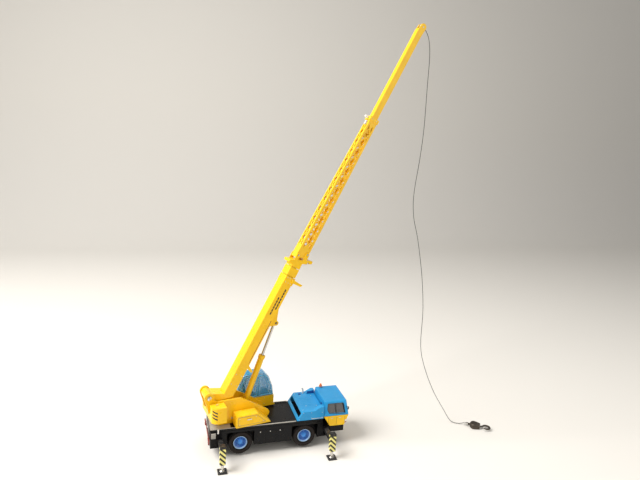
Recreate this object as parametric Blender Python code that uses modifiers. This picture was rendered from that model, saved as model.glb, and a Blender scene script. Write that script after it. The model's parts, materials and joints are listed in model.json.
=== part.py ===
"""Die-cast 1:50 model of a two-axle mobile truck crane, standing on its outriggers with boom and jib raised.

Metres, +Z up, +X towards the carrier's driving cab, origin on the ground at the centre of the crane's footprint.
"""
from math import atan2, cos, hypot, pi, radians, sin

import bmesh
import bpy
from mathutils import Matrix, Vector

MM = 0.001
GAP = 0.3 * MM

# ---- carrier ------------------------------------------------------------------------------------------
REAR_AXLE_X = -85.1 * MM          # places the footprint's centre on the origin
WHEELBASE = 74.3 * MM
BODY_HALF_WIDTH = 24.8 * MM
WHEEL_CENTRE_Z = 15.45 * MM
TYRE_RADIUS = 13.5 * MM
TYRE_WIDTH = 8.4 * MM
TYRE_OUTER_Y = 24.2 * MM
RIM_RADIUS = 8.0 * MM
AXLE_RADIUS = 1.5 * MM
CHASSIS_REAR_X = -34.0 * MM
DECK_TOP_Z = 34.7 * MM
HOOD_REAR_X = 64.5 * MM
CAB_REAR_X = 97.2 * MM
CAB_FRONT_X = 127.7 * MM
CAB_WAIST_Z = 37.4 * MM
ROOF_Z = 53.7 * MM
ROOF_HALF_WIDTH = 19.65 * MM

# ---- outriggers ---------------------------------------------------------------------------------------
OUTRIGGER_X = {"rear": -22.7 * MM, "front": 100.4 * MM}
JACK_Y = 49.65 * MM
BEAM_WIDTH = 5.2 * MM
BEAM_HEIGHT = 4.0 * MM
BEAM_Z = {"right": 20.9 * MM, "left": 16.2 * MM}
BEAM_INNER_Y = 8.0 * MM
JACK_CASING = 6.3 * MM
JACK_CASING_Z = (9.6 * MM, 30.6 * MM)
JACK_ROD_RADIUS = 1.75 * MM
PAD_SIZE = 10.0 * MM
PAD_THICKNESS = 1.6 * MM

# ---- superstructure, in its own frame: +X' from the slewing axis towards the boom tip -----------------
SLEW_X = 12.0 * MM
SLEW_REST = radians(10.0)
FRAME_FLOOR_Z = 36.0 * MM
CHEEK_INNER_Y = 8.4 * MM
CHEEK_OUTER_Y = 10.9 * MM
LUFF_PIVOT = (-49.2 * MM, 70.1 * MM)
PIVOT_PIN_RADIUS = 1.6 * MM
WINCH_CENTRE = (-23.0 * MM, 41.9 * MM)
WINCH_RADIUS = 2.2 * MM

# ---- boom, in its own frame: +X along the boom from the luffing pivot, +Z square to it ----------------
BOOM_REST = radians(62.3)
BOOM_HALF_WIDTH = 7.8 * MM
BOOM_TOP = -14.8 * MM
BOOM_BOTTOM = -26.2 * MM
BOOM_WALL = 1.2 * MM
BASE_SECTION_END = 158.0 * MM
MIDDLE_SECTION_END = 169.0 * MM
CLEVIS = (103.3 * MM, -33.3 * MM)
CLEVIS_PIN_RADIUS = 1.1 * MM
CYLINDER_FOOT = (-7.0 * MM, 46.5 * MM)
CYLINDER_RADIUS = 3.5 * MM
CYLINDER_ROD_RADIUS = 1.7 * MM
CYLINDER_BARREL_LENGTH = 65.0 * MM
HEAD_SHEAVE = (180.6 * MM, -32.4 * MM)
HEAD_SHEAVE_RADIUS = 3.4 * MM
SHEAVE_SHAFT_RADIUS = 0.8 * MM
JIB_START = 180.0 * MM
JIB_END = 366.0 * MM
JIB_PINS = ((184.0 * MM, -16.8 * MM), (189.0 * MM, -27.0 * MM))
JIB_PIN_RADIUS = 0.8 * MM
JIB_BAYS = 13
BRACE_WIDTH = 1.3 * MM
JIB_TIP_CENTRE = -23.7 * MM
JIB_TIP_HALF = (3.5 * MM, 3.8 * MM)
TIP_SHEAVE = (490.5 * MM, -24.6 * MM)
TIP_SHEAVE_RADIUS = 3.2 * MM

# ---- rope and hook, on the ground in the crane's frame ------------------------------------------------
ROPE_RADIUS = 0.35 * MM
HOOK_PLACE = Vector((REAR_AXLE_X + 297.2 * MM, -18.6 * MM, 0.0))
HOOK_HEADING = radians(-38.0)
HOOK_BLOCK_THICKNESS = 6.0 * MM
ROPE_END_X = -4.0 * MM
LUG_THICKNESS = 1.2 * MM
LUG_PIN_RADIUS = 0.5 * MM
ROPE_POINTS = 50

COLLECTION_NAME = "truck_crane"
CUTTERS_NAME = "truck_crane_cutters"


# ---- scene, materials and empties ---------------------------------------------------------------------

def clear_scene():
    for item in list(bpy.data.objects):
        bpy.data.objects.remove(item, do_unlink=True)


def new_collection(name):
    collection = bpy.data.collections.new(name)
    bpy.context.scene.collection.children.link(collection)
    return collection


def make_material(name, color, roughness, metallic=0.0, alpha=1.0):
    material = bpy.data.materials.new(name)
    material.use_nodes = True
    shader = material.node_tree.nodes["Principled BSDF"]
    shader.inputs["Base Color"].default_value = (*color, 1.0)
    shader.inputs["Roughness"].default_value = roughness
    shader.inputs["Metallic"].default_value = metallic
    shader.inputs["Alpha"].default_value = alpha
    return material


clear_scene()
PARTS = new_collection(COLLECTION_NAME)
CUTTERS = new_collection(CUTTERS_NAME)

YELLOW = make_material("yellow_paint", (0.95, 0.66, 0.03), 0.35)
JIB_YELLOW = make_material("yellow_plastic", (0.93, 0.66, 0.05), 0.45)
BLUE = make_material("sky_blue_paint", (0.13, 0.55, 0.90), 0.35)
BLACK = make_material("gloss_black_paint", (0.012, 0.012, 0.014), 0.25)
GLAZING = make_material("black_glazing", (0.01, 0.012, 0.012), 0.12)
BLUE_GLASS = make_material("blue_clear_plastic", (0.05, 0.38, 0.62), 0.10, alpha=0.5)
RUBBER = make_material("tyre_rubber", (0.03, 0.022, 0.02), 0.75)
RIM_BLUE = make_material("rim_blue_plastic", (0.06, 0.30, 0.72), 0.35)
STEEL = make_material("bright_steel", (0.70, 0.70, 0.68), 0.30, 1.0)
GREY = make_material("grey_plastic", (0.42, 0.41, 0.37), 0.55)
AMBER = make_material("amber_lens", (0.85, 0.22, 0.06), 0.20)
RED = make_material("red_lens", (0.28, 0.03, 0.03), 0.30)
CLEAR = make_material("clear_lens", (0.85, 0.85, 0.80), 0.15)
WHITE = make_material("white_plastic", (0.85, 0.84, 0.80), 0.45)
STRIPE = make_material("jack_cream_paint", (0.80, 0.74, 0.33), 0.45)
THREAD = make_material("black_thread", (0.02, 0.02, 0.02), 0.80)
DARK_METAL = make_material("dark_cast_metal", (0.07, 0.06, 0.055), 0.45, 0.6)


def make_empty(name, parent=None, location=(0, 0, 0), rotation=(0, 0, 0)):
    empty = bpy.data.objects.new(name, None)
    empty.empty_display_size = 0.01
    PARTS.objects.link(empty)
    empty.parent = parent
    empty.location = location
    empty.rotation_euler = rotation
    return empty


# ---- solids -------------------------------------------------------------------------------------------

def object_from(name, shape, material, parent, cutter=False):
    """Turn a bmesh into an object; a cutter is kept out of the model and shown as wire."""
    bmesh.ops.recalc_face_normals(shape, faces=shape.faces)
    if shape.calc_volume(signed=True) < 0:
        bmesh.ops.reverse_faces(shape, faces=shape.faces)
    mesh = bpy.data.meshes.new(name)
    shape.to_mesh(mesh)
    shape.free()
    made = bpy.data.objects.new(name, mesh)
    if cutter:
        CUTTERS.objects.link(made)
        made.hide_render = True
        made.display_type = "WIRE"
    else:
        PARTS.objects.link(made)
        mesh.materials.append(material)
    made.parent = parent
    return made


def box_shape(low, high):
    """A closed box between two corners."""
    shape = bmesh.new()
    middle = (Vector(low) + Vector(high)) / 2
    size = Vector(high) - Vector(low)
    bmesh.ops.create_cube(shape, size=1.0, matrix=Matrix.Translation(middle) @ Matrix.Diagonal((*size, 1.0)))
    return shape


def rod_shape(start, end, radius, sides=20, end_radius=None):
    """A closed cylinder or cone frustum from start to end."""
    shape = bmesh.new()
    start, end = Vector(start), Vector(end)
    along = end - start
    turn = along.to_track_quat("Z", "Y").to_matrix().to_4x4()
    bmesh.ops.create_cone(
        shape, cap_ends=True, segments=sides, radius1=radius,
        radius2=radius if end_radius is None else end_radius, depth=along.length,
        matrix=Matrix.Translation((start + end) / 2) @ turn)
    return shape


def plate_shape(outline, low, high, facing="Y"):
    """A flat outline given as (x, z) pairs for facing Y, (x, y) for Z or (y, z) for X, from low to high."""
    curve = bpy.data.curves.new("outline", "CURVE")
    curve.dimensions = "2D"
    curve.fill_mode = "BOTH"
    curve.extrude = (high - low) / 2
    spline = curve.splines.new("POLY")
    spline.points.add(len(outline) - 1)
    for point, place in zip(spline.points, outline):
        point.co = (place[0], place[1], 0, 1)
    spline.use_cyclic_u = True
    holder = bpy.data.objects.new("outline", curve)
    CUTTERS.objects.link(holder)
    evaluated = holder.evaluated_get(bpy.context.evaluated_depsgraph_get())
    mesh = bpy.data.meshes.new_from_object(evaluated)
    bpy.data.objects.remove(holder, do_unlink=True)
    shape = bmesh.new()
    shape.from_mesh(mesh)
    bpy.data.meshes.remove(mesh)
    bmesh.ops.remove_doubles(shape, verts=shape.verts, dist=1e-6)
    centre = (low + high) / 2
    if facing == "Y":
        turn = Matrix(((1, 0, 0, 0), (0, 0, 1, centre), (0, 1, 0, 0), (0, 0, 0, 1)))
    elif facing == "X":
        turn = Matrix(((0, 0, 1, centre), (1, 0, 0, 0), (0, 1, 0, 0), (0, 0, 0, 1)))
    else:
        turn = Matrix.Translation((0, 0, centre))
    shape.transform(turn)
    return shape


def arc(centre, radius, start, end, steps=8):
    """Points on a round stretch of an outline, angles in degrees."""
    return [(centre[0] + radius * cos(radians(start + (end - start) * i / steps)),
             centre[1] + radius * sin(radians(start + (end - start) * i / steps))) for i in range(steps + 1)]


def loft_shape(lower, upper):
    """A closed frustum between two rectangles, each given as (x0, x1, y half-width, z)."""
    shape = bmesh.new()
    rings = []
    for x0, x1, half, z in (lower, upper):
        rings.append([shape.verts.new(corner) for corner in
                      ((x0, -half, z), (x1, -half, z), (x1, half, z), (x0, half, z))])
    shape.faces.new(rings[0][::-1])
    shape.faces.new(rings[1])
    for i in range(4):
        j = (i + 1) % 4
        shape.faces.new((rings[0][i], rings[0][j], rings[1][j], rings[1][i]))
    return shape


def merged(shapes):
    """Several shapes in one bmesh; they stay separate bodies."""
    whole = bmesh.new()
    for shape in shapes:
        mesh = bpy.data.meshes.new("merge")
        shape.to_mesh(mesh)
        shape.free()
        whole.from_mesh(mesh)
        bpy.data.meshes.remove(mesh)
    return whole


def add_boolean(piece, operation, shape):
    other = object_from(f"{piece.name}_{operation.lower()}_{len(piece.modifiers)}", shape, None,
                        piece.parent, True)
    modifier = piece.modifiers.new(operation.title(), "BOOLEAN")
    modifier.operation = operation
    modifier.object = other
    modifier.solver = "EXACT"
    return piece


def join(piece, *shapes):
    for shape in shapes:
        add_boolean(piece, "UNION", shape)
    return piece


def cut(piece, *shapes):
    for shape in shapes:
        add_boolean(piece, "DIFFERENCE", shape)
    return piece


def bevel(piece, width, segments=2, angle=30):
    modifier = piece.modifiers.new("Bevel", "BEVEL")
    modifier.width = width
    modifier.segments = segments
    modifier.limit_method = "ANGLE"
    modifier.angle_limit = radians(angle)
    return piece


def turned(name, profile, material, parent, location, steps=36):
    """A round piece turned about the Y axis from (radius, y) pairs, top to bottom at +X, closed on the axis."""
    mesh = bpy.data.meshes.new(name)
    mesh.from_pydata([(radius, 0, y) for radius, y in profile],
                     [(i, i + 1) for i in range(len(profile) - 1)], [])
    mesh.materials.append(material)
    made = bpy.data.objects.new(name, mesh)
    PARTS.objects.link(made)
    made.parent = parent
    made.location = location
    made.rotation_euler = (-pi / 2, 0, 0)
    screw = made.modifiers.new("Screw", "SCREW")
    screw.steps = steps
    screw.render_steps = steps
    screw.use_merge_vertices = True
    screw.merge_threshold = 1e-6
    screw.use_normal_calculate = False
    screw.use_smooth_shade = True
    return made


# ---- carrier ------------------------------------------------------------------------------------------

def build_chassis(carrier):
    front_x = 104.4 * MM
    wheel_gap = 15.4 * MM
    wheel_y = TYRE_OUTER_Y - TYRE_WIDTH - 1.1 * MM
    top = DECK_TOP_Z - 2.2 * MM
    spine = box_shape((CHASSIS_REAR_X, -wheel_y, 11 * MM), (94 * MM, wheel_y, top))
    frame = object_from("chassis_frame", spine, BLACK, carrier)
    side = BODY_HALF_WIDTH
    join(
        frame,
        box_shape((CHASSIS_REAR_X + 1 * MM, -side, 29.7 * MM), (95.6 * MM, side, top - 0.1 * MM)),
        box_shape((wheel_gap, -side + 0.1 * MM, 12 * MM), (WHEELBASE - wheel_gap, side - 0.1 * MM, 31 * MM)),
        box_shape((CHASSIS_REAR_X + 0.5 * MM, -side + 0.2 * MM, 13.0 * MM),
                  (-wheel_gap, side - 0.2 * MM, 30.5 * MM)),
        box_shape((WHEELBASE + wheel_gap, -side + 0.3 * MM, 12.8 * MM),
                  (front_x, side - 0.3 * MM, 24.5 * MM)),
        box_shape((90 * MM, -side + 0.4 * MM, 20 * MM), (96.6 * MM, side - 0.4 * MM, 31 * MM)))
    tunnel_low = BEAM_Z["left"] - BEAM_HEIGHT / 2 - GAP
    tunnel_high = BEAM_Z["right"] + BEAM_HEIGHT / 2 + GAP
    for x in OUTRIGGER_X.values():
        half = BEAM_WIDTH / 2 + GAP
        cut(frame, box_shape((x - half, -30 * MM, tunnel_low), (x + half, 30 * MM, tunnel_high)))
    for x in (0.0, WHEELBASE):
        cut(frame, rod_shape((x, -30 * MM, WHEEL_CENTRE_Z), (x, 30 * MM, WHEEL_CENTRE_Z), AXLE_RADIUS + GAP))
    floor, ceiling, inner = 10 * MM, 29.3 * MM, wheel_y - 2.0 * MM
    hollows = [box_shape((-17.4 * MM, -inner, floor), (13.0 * MM, inner, ceiling)),
               box_shape((17.4 * MM, -side + 2.1 * MM, floor),
                         (WHEELBASE - 17.4 * MM, side - 2.1 * MM, ceiling)),
               box_shape((WHEELBASE - 13.0 * MM, -inner, floor), (92.0 * MM, inner, ceiling))]
    cut(frame, merged(hollows))
    cut(frame, rod_shape((SLEW_X, 0, 24 * MM), (SLEW_X, 0, 40 * MM), 3.6 * MM))


def build_deck(carrier):
    low, high = DECK_TOP_Z - 1.9 * MM, DECK_TOP_Z
    deck = object_from("deck_plate", box_shape((CHASSIS_REAR_X, -BODY_HALF_WIDTH, low),
                                               (HOOD_REAR_X + 31 * MM, BODY_HALF_WIDTH,
                                                high)), BLACK, carrier)
    cut(deck, rod_shape((SLEW_X, 0, low - 1 * MM), (SLEW_X, 0, high + 1 * MM), 3.6 * MM))

    rear, mid, front = CHASSIS_REAR_X + 0.4 * MM, -11.2 * MM, 63.6 * MM
    wide, rail, inner = BODY_HALF_WIDTH - 0.05 * MM, BODY_HALF_WIDTH - 1.2 * MM, 11 * MM
    half_outline = [(front, wide), (front, rail), (mid, rail), (mid, inner), (rear + 6 * MM, inner)]
    outline = half_outline + [(x, -y) for x, y in reversed(half_outline)] + [(rear, -wide), (rear, wide)]
    object_from("deck_edging", plate_shape(outline, DECK_TOP_Z + GAP, DECK_TOP_Z + 0.9 * MM, "Z"), GREY,
                carrier)

    ring = object_from("slew_ring", rod_shape((SLEW_X, 0, DECK_TOP_Z + GAP),
                                              (SLEW_X, 0, DECK_TOP_Z + 1.0 * MM),
                                              9.5 * MM, 40), STEEL, carrier)
    cut(ring, rod_shape((SLEW_X, 0, DECK_TOP_Z - 1 * MM), (SLEW_X, 0, DECK_TOP_Z + 3 * MM), 3.6 * MM))


def build_hood(carrier):
    base, top, front = DECK_TOP_Z + GAP, 45.8 * MM, CAB_REAR_X - GAP
    half = 24.7 * MM
    outline = [(HOOD_REAR_X, base), (front, base), (front, top), (71.6 * MM, top)]
    hood = object_from("engine_hood", plate_shape(outline, -half, half), BLUE, carrier)
    bevel(hood, 0.7 * MM)
    cowl = [(84 * MM, 44 * MM), (front - 0.05 * MM, 44 * MM), (front - 0.05 * MM, 50 * MM),
            (93.5 * MM, 50 * MM), (86.5 * MM, 46.2 * MM), (84 * MM, 45.7 * MM)]
    for y0, y1 in ((-half + 0.05 * MM, -18.4 * MM), (18.4 * MM, half - 0.05 * MM)):
        join(hood, plate_shape(cowl, y0, y1))
    cut(hood, box_shape((67 * MM, -22 * MM, base - 1 * MM), (94.5 * MM, 22 * MM, 43 * MM)))
    cut(hood, rod_shape((83.0 * MM, 21.2 * MM, 40 * MM), (83.0 * MM, 21.2 * MM, 50 * MM), 1.4 * MM, 16))

    pipe = object_from("exhaust_stack", rod_shape((83.0 * MM, 21.2 * MM, 43.5 * MM),
                                                  (83.0 * MM, 21.2 * MM, 50.5 * MM),
                                                  1.1 * MM, 16), STEEL, carrier)
    join(pipe, rod_shape((83.0 * MM, 21.2 * MM, 49.6 * MM), (81.2 * MM, 21.2 * MM, 53.0 * MM), 1.05 * MM, 16))


def build_driver_cab(carrier):
    wide = 25.0 * MM
    waist = (CAB_REAR_X, CAB_FRONT_X, wide, CAB_WAIST_Z)
    roof = (98.4 * MM, 125.7 * MM, ROOF_HALF_WIDTH, ROOF_Z)
    cab = object_from("driver_cab", loft_shape(waist, roof), BLUE, carrier)
    bevel(cab, 0.8 * MM)
    wall = 1.3 * MM
    cut(cab, loft_shape((CAB_REAR_X + wall, CAB_FRONT_X - wall, wide - wall - 0.1 * MM,
                         CAB_WAIST_Z - 0.1 * MM),
                        (98.5 * MM + wall, 125.5 * MM - wall, ROOF_HALF_WIDTH - wall, ROOF_Z - wall)))
    side_window = [(104.0 * MM, 40.0 * MM), (123.6 * MM, 39.4 * MM), (121.6 * MM, 50.8 * MM),
                   (102.6 * MM, 50.8 * MM), (101.6 * MM, 44.4 * MM)]
    windscreen = [(-21.0 * MM, 39.6 * MM), (21.0 * MM, 39.6 * MM), (18.0 * MM, 51.0 * MM),
                  (-18.0 * MM, 51.0 * MM)]
    cut(cab, plate_shape(side_window, -30 * MM, 30 * MM),
        plate_shape(windscreen, 120 * MM, 135 * MM, "X"))

    inset = wall + 2 * GAP
    glazing = object_from("driver_cab_glazing", loft_shape(
        (CAB_REAR_X + inset, CAB_FRONT_X - wall - 0.1 * MM - GAP, wide - wall - 0.1 * MM - GAP,
         CAB_WAIST_Z + GAP),
        (98.5 * MM + inset, 125.5 * MM - wall - GAP, ROOF_HALF_WIDTH - wall - GAP, ROOF_Z - wall - GAP)),
        GLAZING, carrier)
    cut(glazing, loft_shape((CAB_REAR_X + 3 * MM, CAB_FRONT_X - 3.5 * MM, wide - 3.5 * MM,
                             CAB_WAIST_Z - 1 * MM),
                            (102 * MM, 122.5 * MM, ROOF_HALF_WIDTH - 3 * MM, ROOF_Z - 3.5 * MM)))

    band = [(CAB_REAR_X, CAB_WAIST_Z - GAP), (104.8 * MM, 24.9 * MM), (122.9 * MM, 24.9 * MM),
            (CAB_FRONT_X, CAB_WAIST_Z - GAP)]
    panel = object_from("cab_lower_panel", plate_shape(band, -wide, wide), YELLOW, carrier)
    bevel(panel, 0.5 * MM)
    hollow = [(100.2 * MM, 35.5 * MM), (106.8 * MM, 24.0 * MM), (121.0 * MM, 24.0 * MM),
              (125.4 * MM, 35.5 * MM)]
    cut(panel, plate_shape(hollow, -wide + 1.6 * MM, wide - 1.6 * MM))
    recess = [box_shape((120 * MM, y - 3.4 * MM, 27.2 * MM), (130 * MM, y + 3.4 * MM, 32.2 * MM))
              for y in (-17 * MM, 17 * MM)]
    cut(panel, merged(recess))

    lamp_low, lamp_slope = 27.6 * MM, atan2(4.8, 12.2)
    lamps = object_from("headlamps", box_shape((118.6 * MM, -20 * MM, 28.6 * MM),
                                               (119.9 * MM, 20 * MM, 30.8 * MM)),
                        CLEAR, carrier)
    for y in (-17 * MM, 17 * MM):
        lamp = box_shape((119.0 * MM, y - 3.0 * MM, lamp_low), (124.0 * MM, y + 3.0 * MM, 31.8 * MM))
        for vertex in lamp.verts:
            vertex.co.x += (vertex.co.z - lamp_low) * sin(lamp_slope)
        join(lamps, lamp)
    bumper = object_from("front_bumper", box_shape((104.4 * MM + 2 * GAP, -24.4 * MM, 17.2 * MM),
                                                   (122.4 * MM, 24.4 * MM, 24.6 * MM)), BLACK, carrier)
    bevel(bumper, 0.6 * MM)
    cut(bumper, box_shape((107 * MM, -22.4 * MM, 16 * MM), (120.6 * MM, 22.4 * MM, 22.6 * MM)))

    beacon_x, beacon_y = 104.0 * MM, 16.0 * MM
    base_top = ROOF_Z + 1.8 * MM
    object_from("beacon_base", rod_shape((beacon_x, beacon_y, ROOF_Z + GAP), (beacon_x, beacon_y, base_top),
                                         1.7 * MM, 20), STEEL, carrier)
    lens = object_from("beacon_lens", rod_shape((beacon_x, beacon_y, base_top + GAP),
                                                (beacon_x, beacon_y, base_top + 3.6 * MM),
                                                2.1 * MM, 20, 1.5 * MM), AMBER, carrier)
    bevel(lens, 0.5 * MM)


def build_rear_fittings(carrier):
    lamp_front = CHASSIS_REAR_X - GAP
    lamps = object_from("tail_lamp_bar", box_shape((lamp_front - 0.9 * MM, -24.4 * MM, 18.6 * MM),
                                                   (lamp_front - 0.1 * MM, 24.4 * MM,
                                                    21.4 * MM)), RED, carrier)
    for side_name, side in (("left", 1), ("right", -1)):
        y0, y1 = sorted((side * 17.5 * MM, side * 24.5 * MM))
        join(lamps, box_shape((lamp_front - 1.5 * MM, y0, 17.5 * MM), (lamp_front, y1, 22.5 * MM)))
        y0, y1 = sorted((side * (BODY_HALF_WIDTH + GAP), side * (BODY_HALF_WIDTH + 1.8 * MM)))
        step = object_from(f"side_step_{side_name}", box_shape((-32.5 * MM, y0, 25.4 * MM),
                                                               (-27.6 * MM, y1, 31.4 * MM)), GREY, carrier)
        bevel(step, 0.4 * MM)


def build_wheelset(carrier, end_name, x):
    wheel = make_empty(f"{end_name}_wheelset", carrier, (x, 0, WHEEL_CENTRE_Z))
    hub_inner = TYRE_OUTER_Y - TYRE_WIDTH
    object_from(f"{end_name}_axle", rod_shape((0, -hub_inner - 2.2 * MM, 0), (0, hub_inner + 2.2 * MM, 0),
                                              AXLE_RADIUS), STEEL, wheel)
    for side_name, side in (("left", 1), ("right", -1)):
        half = TYRE_WIDTH / 2
        bore = RIM_RADIUS + GAP
        crown, shoulder = TYRE_RADIUS, 1.3 * MM
        tyre_profile = [(bore, half - 0.4 * MM), (crown - 2.4 * MM, half),
                        (crown - 0.5 * MM, half - shoulder),
                        (crown, half - 2.4 * MM), (crown, -half + 2.4 * MM), (crown - 0.5 * MM,
                                                                              -half + shoulder),
                        (crown - 2.4 * MM, -half), (bore, -half + 0.4 * MM), (bore, half - 0.4 * MM)]
        centre_y = side * (TYRE_OUTER_Y - half)
        turned(f"{end_name}_tyre_{side_name}", tyre_profile, RUBBER, wheel, (0, centre_y, 0), 30)

        socket = AXLE_RADIUS + 0.02 * MM
        face = half - 0.9 * MM
        rim_profile = [(0, face - 1.1 * MM), (2.6 * MM, face - 1.1 * MM), (3.0 * MM, face - 1.6 * MM),
                       (4.9 * MM, face - 2.2 * MM), (6.3 * MM, face - 0.4 * MM), (6.9 * MM, face),
                       (RIM_RADIUS, face - 0.3 * MM), (RIM_RADIUS, -half + 0.6 * MM), (5.6 * MM,
                                                                                       -half + 0.6 * MM),
                       (5.0 * MM, -half + 2.6 * MM), (socket, -half + 2.6 * MM), (socket, 0.0), (0, 0.0)]
        if side < 0:
            rim_profile = [(radius, -y) for radius, y in reversed(rim_profile)]
        turned(f"{end_name}_rim_{side_name}", rim_profile, RIM_BLUE, wheel, (0, centre_y, 0), 24)


def build_outrigger(carrier, end_name, side_name, side):
    x = OUTRIGGER_X[end_name]
    beam_z = BEAM_Z[side_name]
    low, high = JACK_CASING_Z
    half = JACK_CASING / 2
    y_jack = side * JACK_Y
    y0, y1 = sorted((side * BEAM_INNER_Y, y_jack))
    name = f"{end_name}_{side_name}"
    casing = object_from(f"outrigger_{name}", box_shape((x - half, y_jack - half, low),
                                                        (x + half, y_jack + half, high)),
                         STRIPE, carrier)
    join(casing, box_shape((x - BEAM_WIDTH / 2, y0, beam_z - BEAM_HEIGHT / 2),
                           (x + BEAM_WIDTH / 2, y1, beam_z + BEAM_HEIGHT / 2)))
    bore = JACK_ROD_RADIUS + GAP
    cut(casing, rod_shape((x, y_jack, low - 1 * MM), (x, y_jack, high - 2.2 * MM), bore, 20))

    rod = object_from(f"jack_{name}", rod_shape((x, y_jack, PAD_THICKNESS - 0.3 * MM), (x, y_jack, 20 * MM),
                                                JACK_ROD_RADIUS, 20), STEEL, carrier)
    pad_half = PAD_SIZE / 2
    join(rod, box_shape((x - pad_half, y_jack - pad_half, 0),
                        (x + pad_half, y_jack + pad_half, PAD_THICKNESS)),
         rod_shape((x, y_jack, PAD_THICKNESS - 0.2 * MM), (x, y_jack, PAD_THICKNESS + 1.2 * MM), 3.2 * MM, 20,
                   2.4 * MM))


# ---- superstructure -----------------------------------------------------------------------------------

def build_turntable_frame(slew):
    floor_top = 37.5 * MM
    frame = object_from("turntable_frame", box_shape((-39 * MM, -CHEEK_OUTER_Y, FRAME_FLOOR_Z),
                                                     (20 * MM, CHEEK_OUTER_Y, floor_top)), YELLOW, slew)
    px, pz = LUFF_PIVOT
    cheek = ([(-38.8 * MM, FRAME_FLOOR_Z + 0.1 * MM), (17.5 * MM, FRAME_FLOOR_Z + 0.1 * MM)]
             + arc((17.6 * MM, 40.6 * MM), 4.4 * MM, -80, 60, 7)
             + [(-0.2 * MM, 57.0 * MM), (-12.6 * MM, 64.3 * MM), (-40.0 * MM, 64.3 * MM)]
             + arc((px, pz), 5.6 * MM, -30, 200, 12)
             + [(px - 2.6 * MM, 60 * MM), (-50.0 * MM, 52.4 * MM), (-45.6 * MM, 52.4 * MM),
                (-45.6 * MM, 47 * MM)])
    for y0, y1 in ((-CHEEK_OUTER_Y, -CHEEK_INNER_Y), (CHEEK_INNER_Y, CHEEK_OUTER_Y)):
        join(frame, plate_shape(cheek, y0 + 0.02 * MM, y1 - 0.02 * MM))
    for side in (1, -1):
        inner, outer = side * 4.6 * MM, side * (CHEEK_OUTER_Y - 0.5 * MM)
        fx, fz = CYLINDER_FOOT
        join(frame, rod_shape((fx, inner, fz), (fx, outer, fz), 2.2 * MM, 20))
    cut(frame, rod_shape((px, -20 * MM, pz), (px, 20 * MM, pz), PIVOT_PIN_RADIUS + GAP, 20))
    wx, wz = WINCH_CENTRE
    cut(frame, rod_shape((wx, -20 * MM, wz), (wx, 20 * MM, wz), 1.1 * MM + GAP, 20))

    pin_top = FRAME_FLOOR_Z - GAP
    object_from("slew_pin", rod_shape((0, 0, 25 * MM), (0, 0, pin_top), 3.3 * MM), STEEL, slew)

    pin = object_from("boom_pivot_pin", rod_shape((px, -CHEEK_OUTER_Y - GAP, pz),
                                                  (px, CHEEK_OUTER_Y + GAP, pz),
                                                  PIVOT_PIN_RADIUS, 20), STEEL, slew)
    for side in (1, -1):
        face = side * (CHEEK_OUTER_Y + GAP)
        join(pin, rod_shape((px, face - side * 0.1 * MM, pz), (px, face + side * 1.0 * MM, pz), 2.5 * MM, 20))


def build_winch(slew):
    wx, wz = WINCH_CENTRE
    reach = CHEEK_INNER_Y - GAP
    drum = object_from("winch_drum", rod_shape((wx, -reach, wz), (wx, reach, wz), WINCH_RADIUS), STEEL, slew)
    for side in (1, -1):
        join(drum, rod_shape((wx, side * (reach - 1.2 * MM), wz), (wx, side * (reach - 0.02 * MM), wz),
                             3.0 * MM))
    join(drum, rod_shape((wx, reach - 0.5 * MM, wz), (wx, CHEEK_OUTER_Y + 2.6 * MM, wz), 1.1 * MM, 20),
         rod_shape((wx, -CHEEK_OUTER_Y + 0.4 * MM, wz), (wx, -reach + 0.5 * MM, wz), 1.1 * MM, 20))
    knob = object_from("winch_knob", rod_shape((wx, CHEEK_OUTER_Y + GAP, wz),
                                               (wx, CHEEK_OUTER_Y + 4.0 * MM, wz),
                                               3.2 * MM, 24), STEEL, slew)
    cut(knob, rod_shape((wx, CHEEK_OUTER_Y, wz), (wx, CHEEK_OUTER_Y + 2.6 * MM + GAP, wz), 1.1 * MM + GAP,
                        20))


def build_side_locker(slew):
    y_outer, y_inner = -25.0 * MM, -CHEEK_OUTER_Y - GAP
    outline = [(-22.6 * MM, 36.1 * MM), (19.0 * MM, 36.3 * MM), (3.0 * MM, 50 * MM), (-22.0 * MM, 50 * MM)]
    locker = object_from("side_locker", plate_shape(outline, y_outer, y_inner), YELLOW, slew)
    bevel(locker, 0.5 * MM)
    inside = [(-20.0 * MM, 35 * MM), (14.0 * MM, 35 * MM), (1.6 * MM, 48 * MM), (-20.0 * MM, 48 * MM)]
    cut(locker, plate_shape(inside, y_outer + 1.6 * MM, y_inner - 1.4 * MM))


def build_counterweight(slew):
    low, high = 45.2 * MM, 63.0 * MM
    front, rear, half, corner = -33.0 * MM, -52.0 * MM, 24.0 * MM, 6.5 * MM
    outline = ([(front, -half)] + [(front, half)]
               + arc((rear + corner + 3.0 * MM, half - corner), corner, 90, 170, 6)
               + arc((rear + corner + 3.0 * MM, -half + corner), corner, 190, 270, 6))
    weight = object_from("counterweight", plate_shape(outline, low, high, "Z"), YELLOW, slew)
    bevel(weight, 1.2 * MM, 3)
    slot = CHEEK_OUTER_Y + GAP
    cut(weight,
        box_shape((-60 * MM, -slot, 52.0 * MM), (front + 5 * MM, slot, high + 5 * MM)),
        box_shape((-46.0 * MM, -slot, low - 5 * MM), (front + 5 * MM, slot, 53.0 * MM)))


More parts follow.
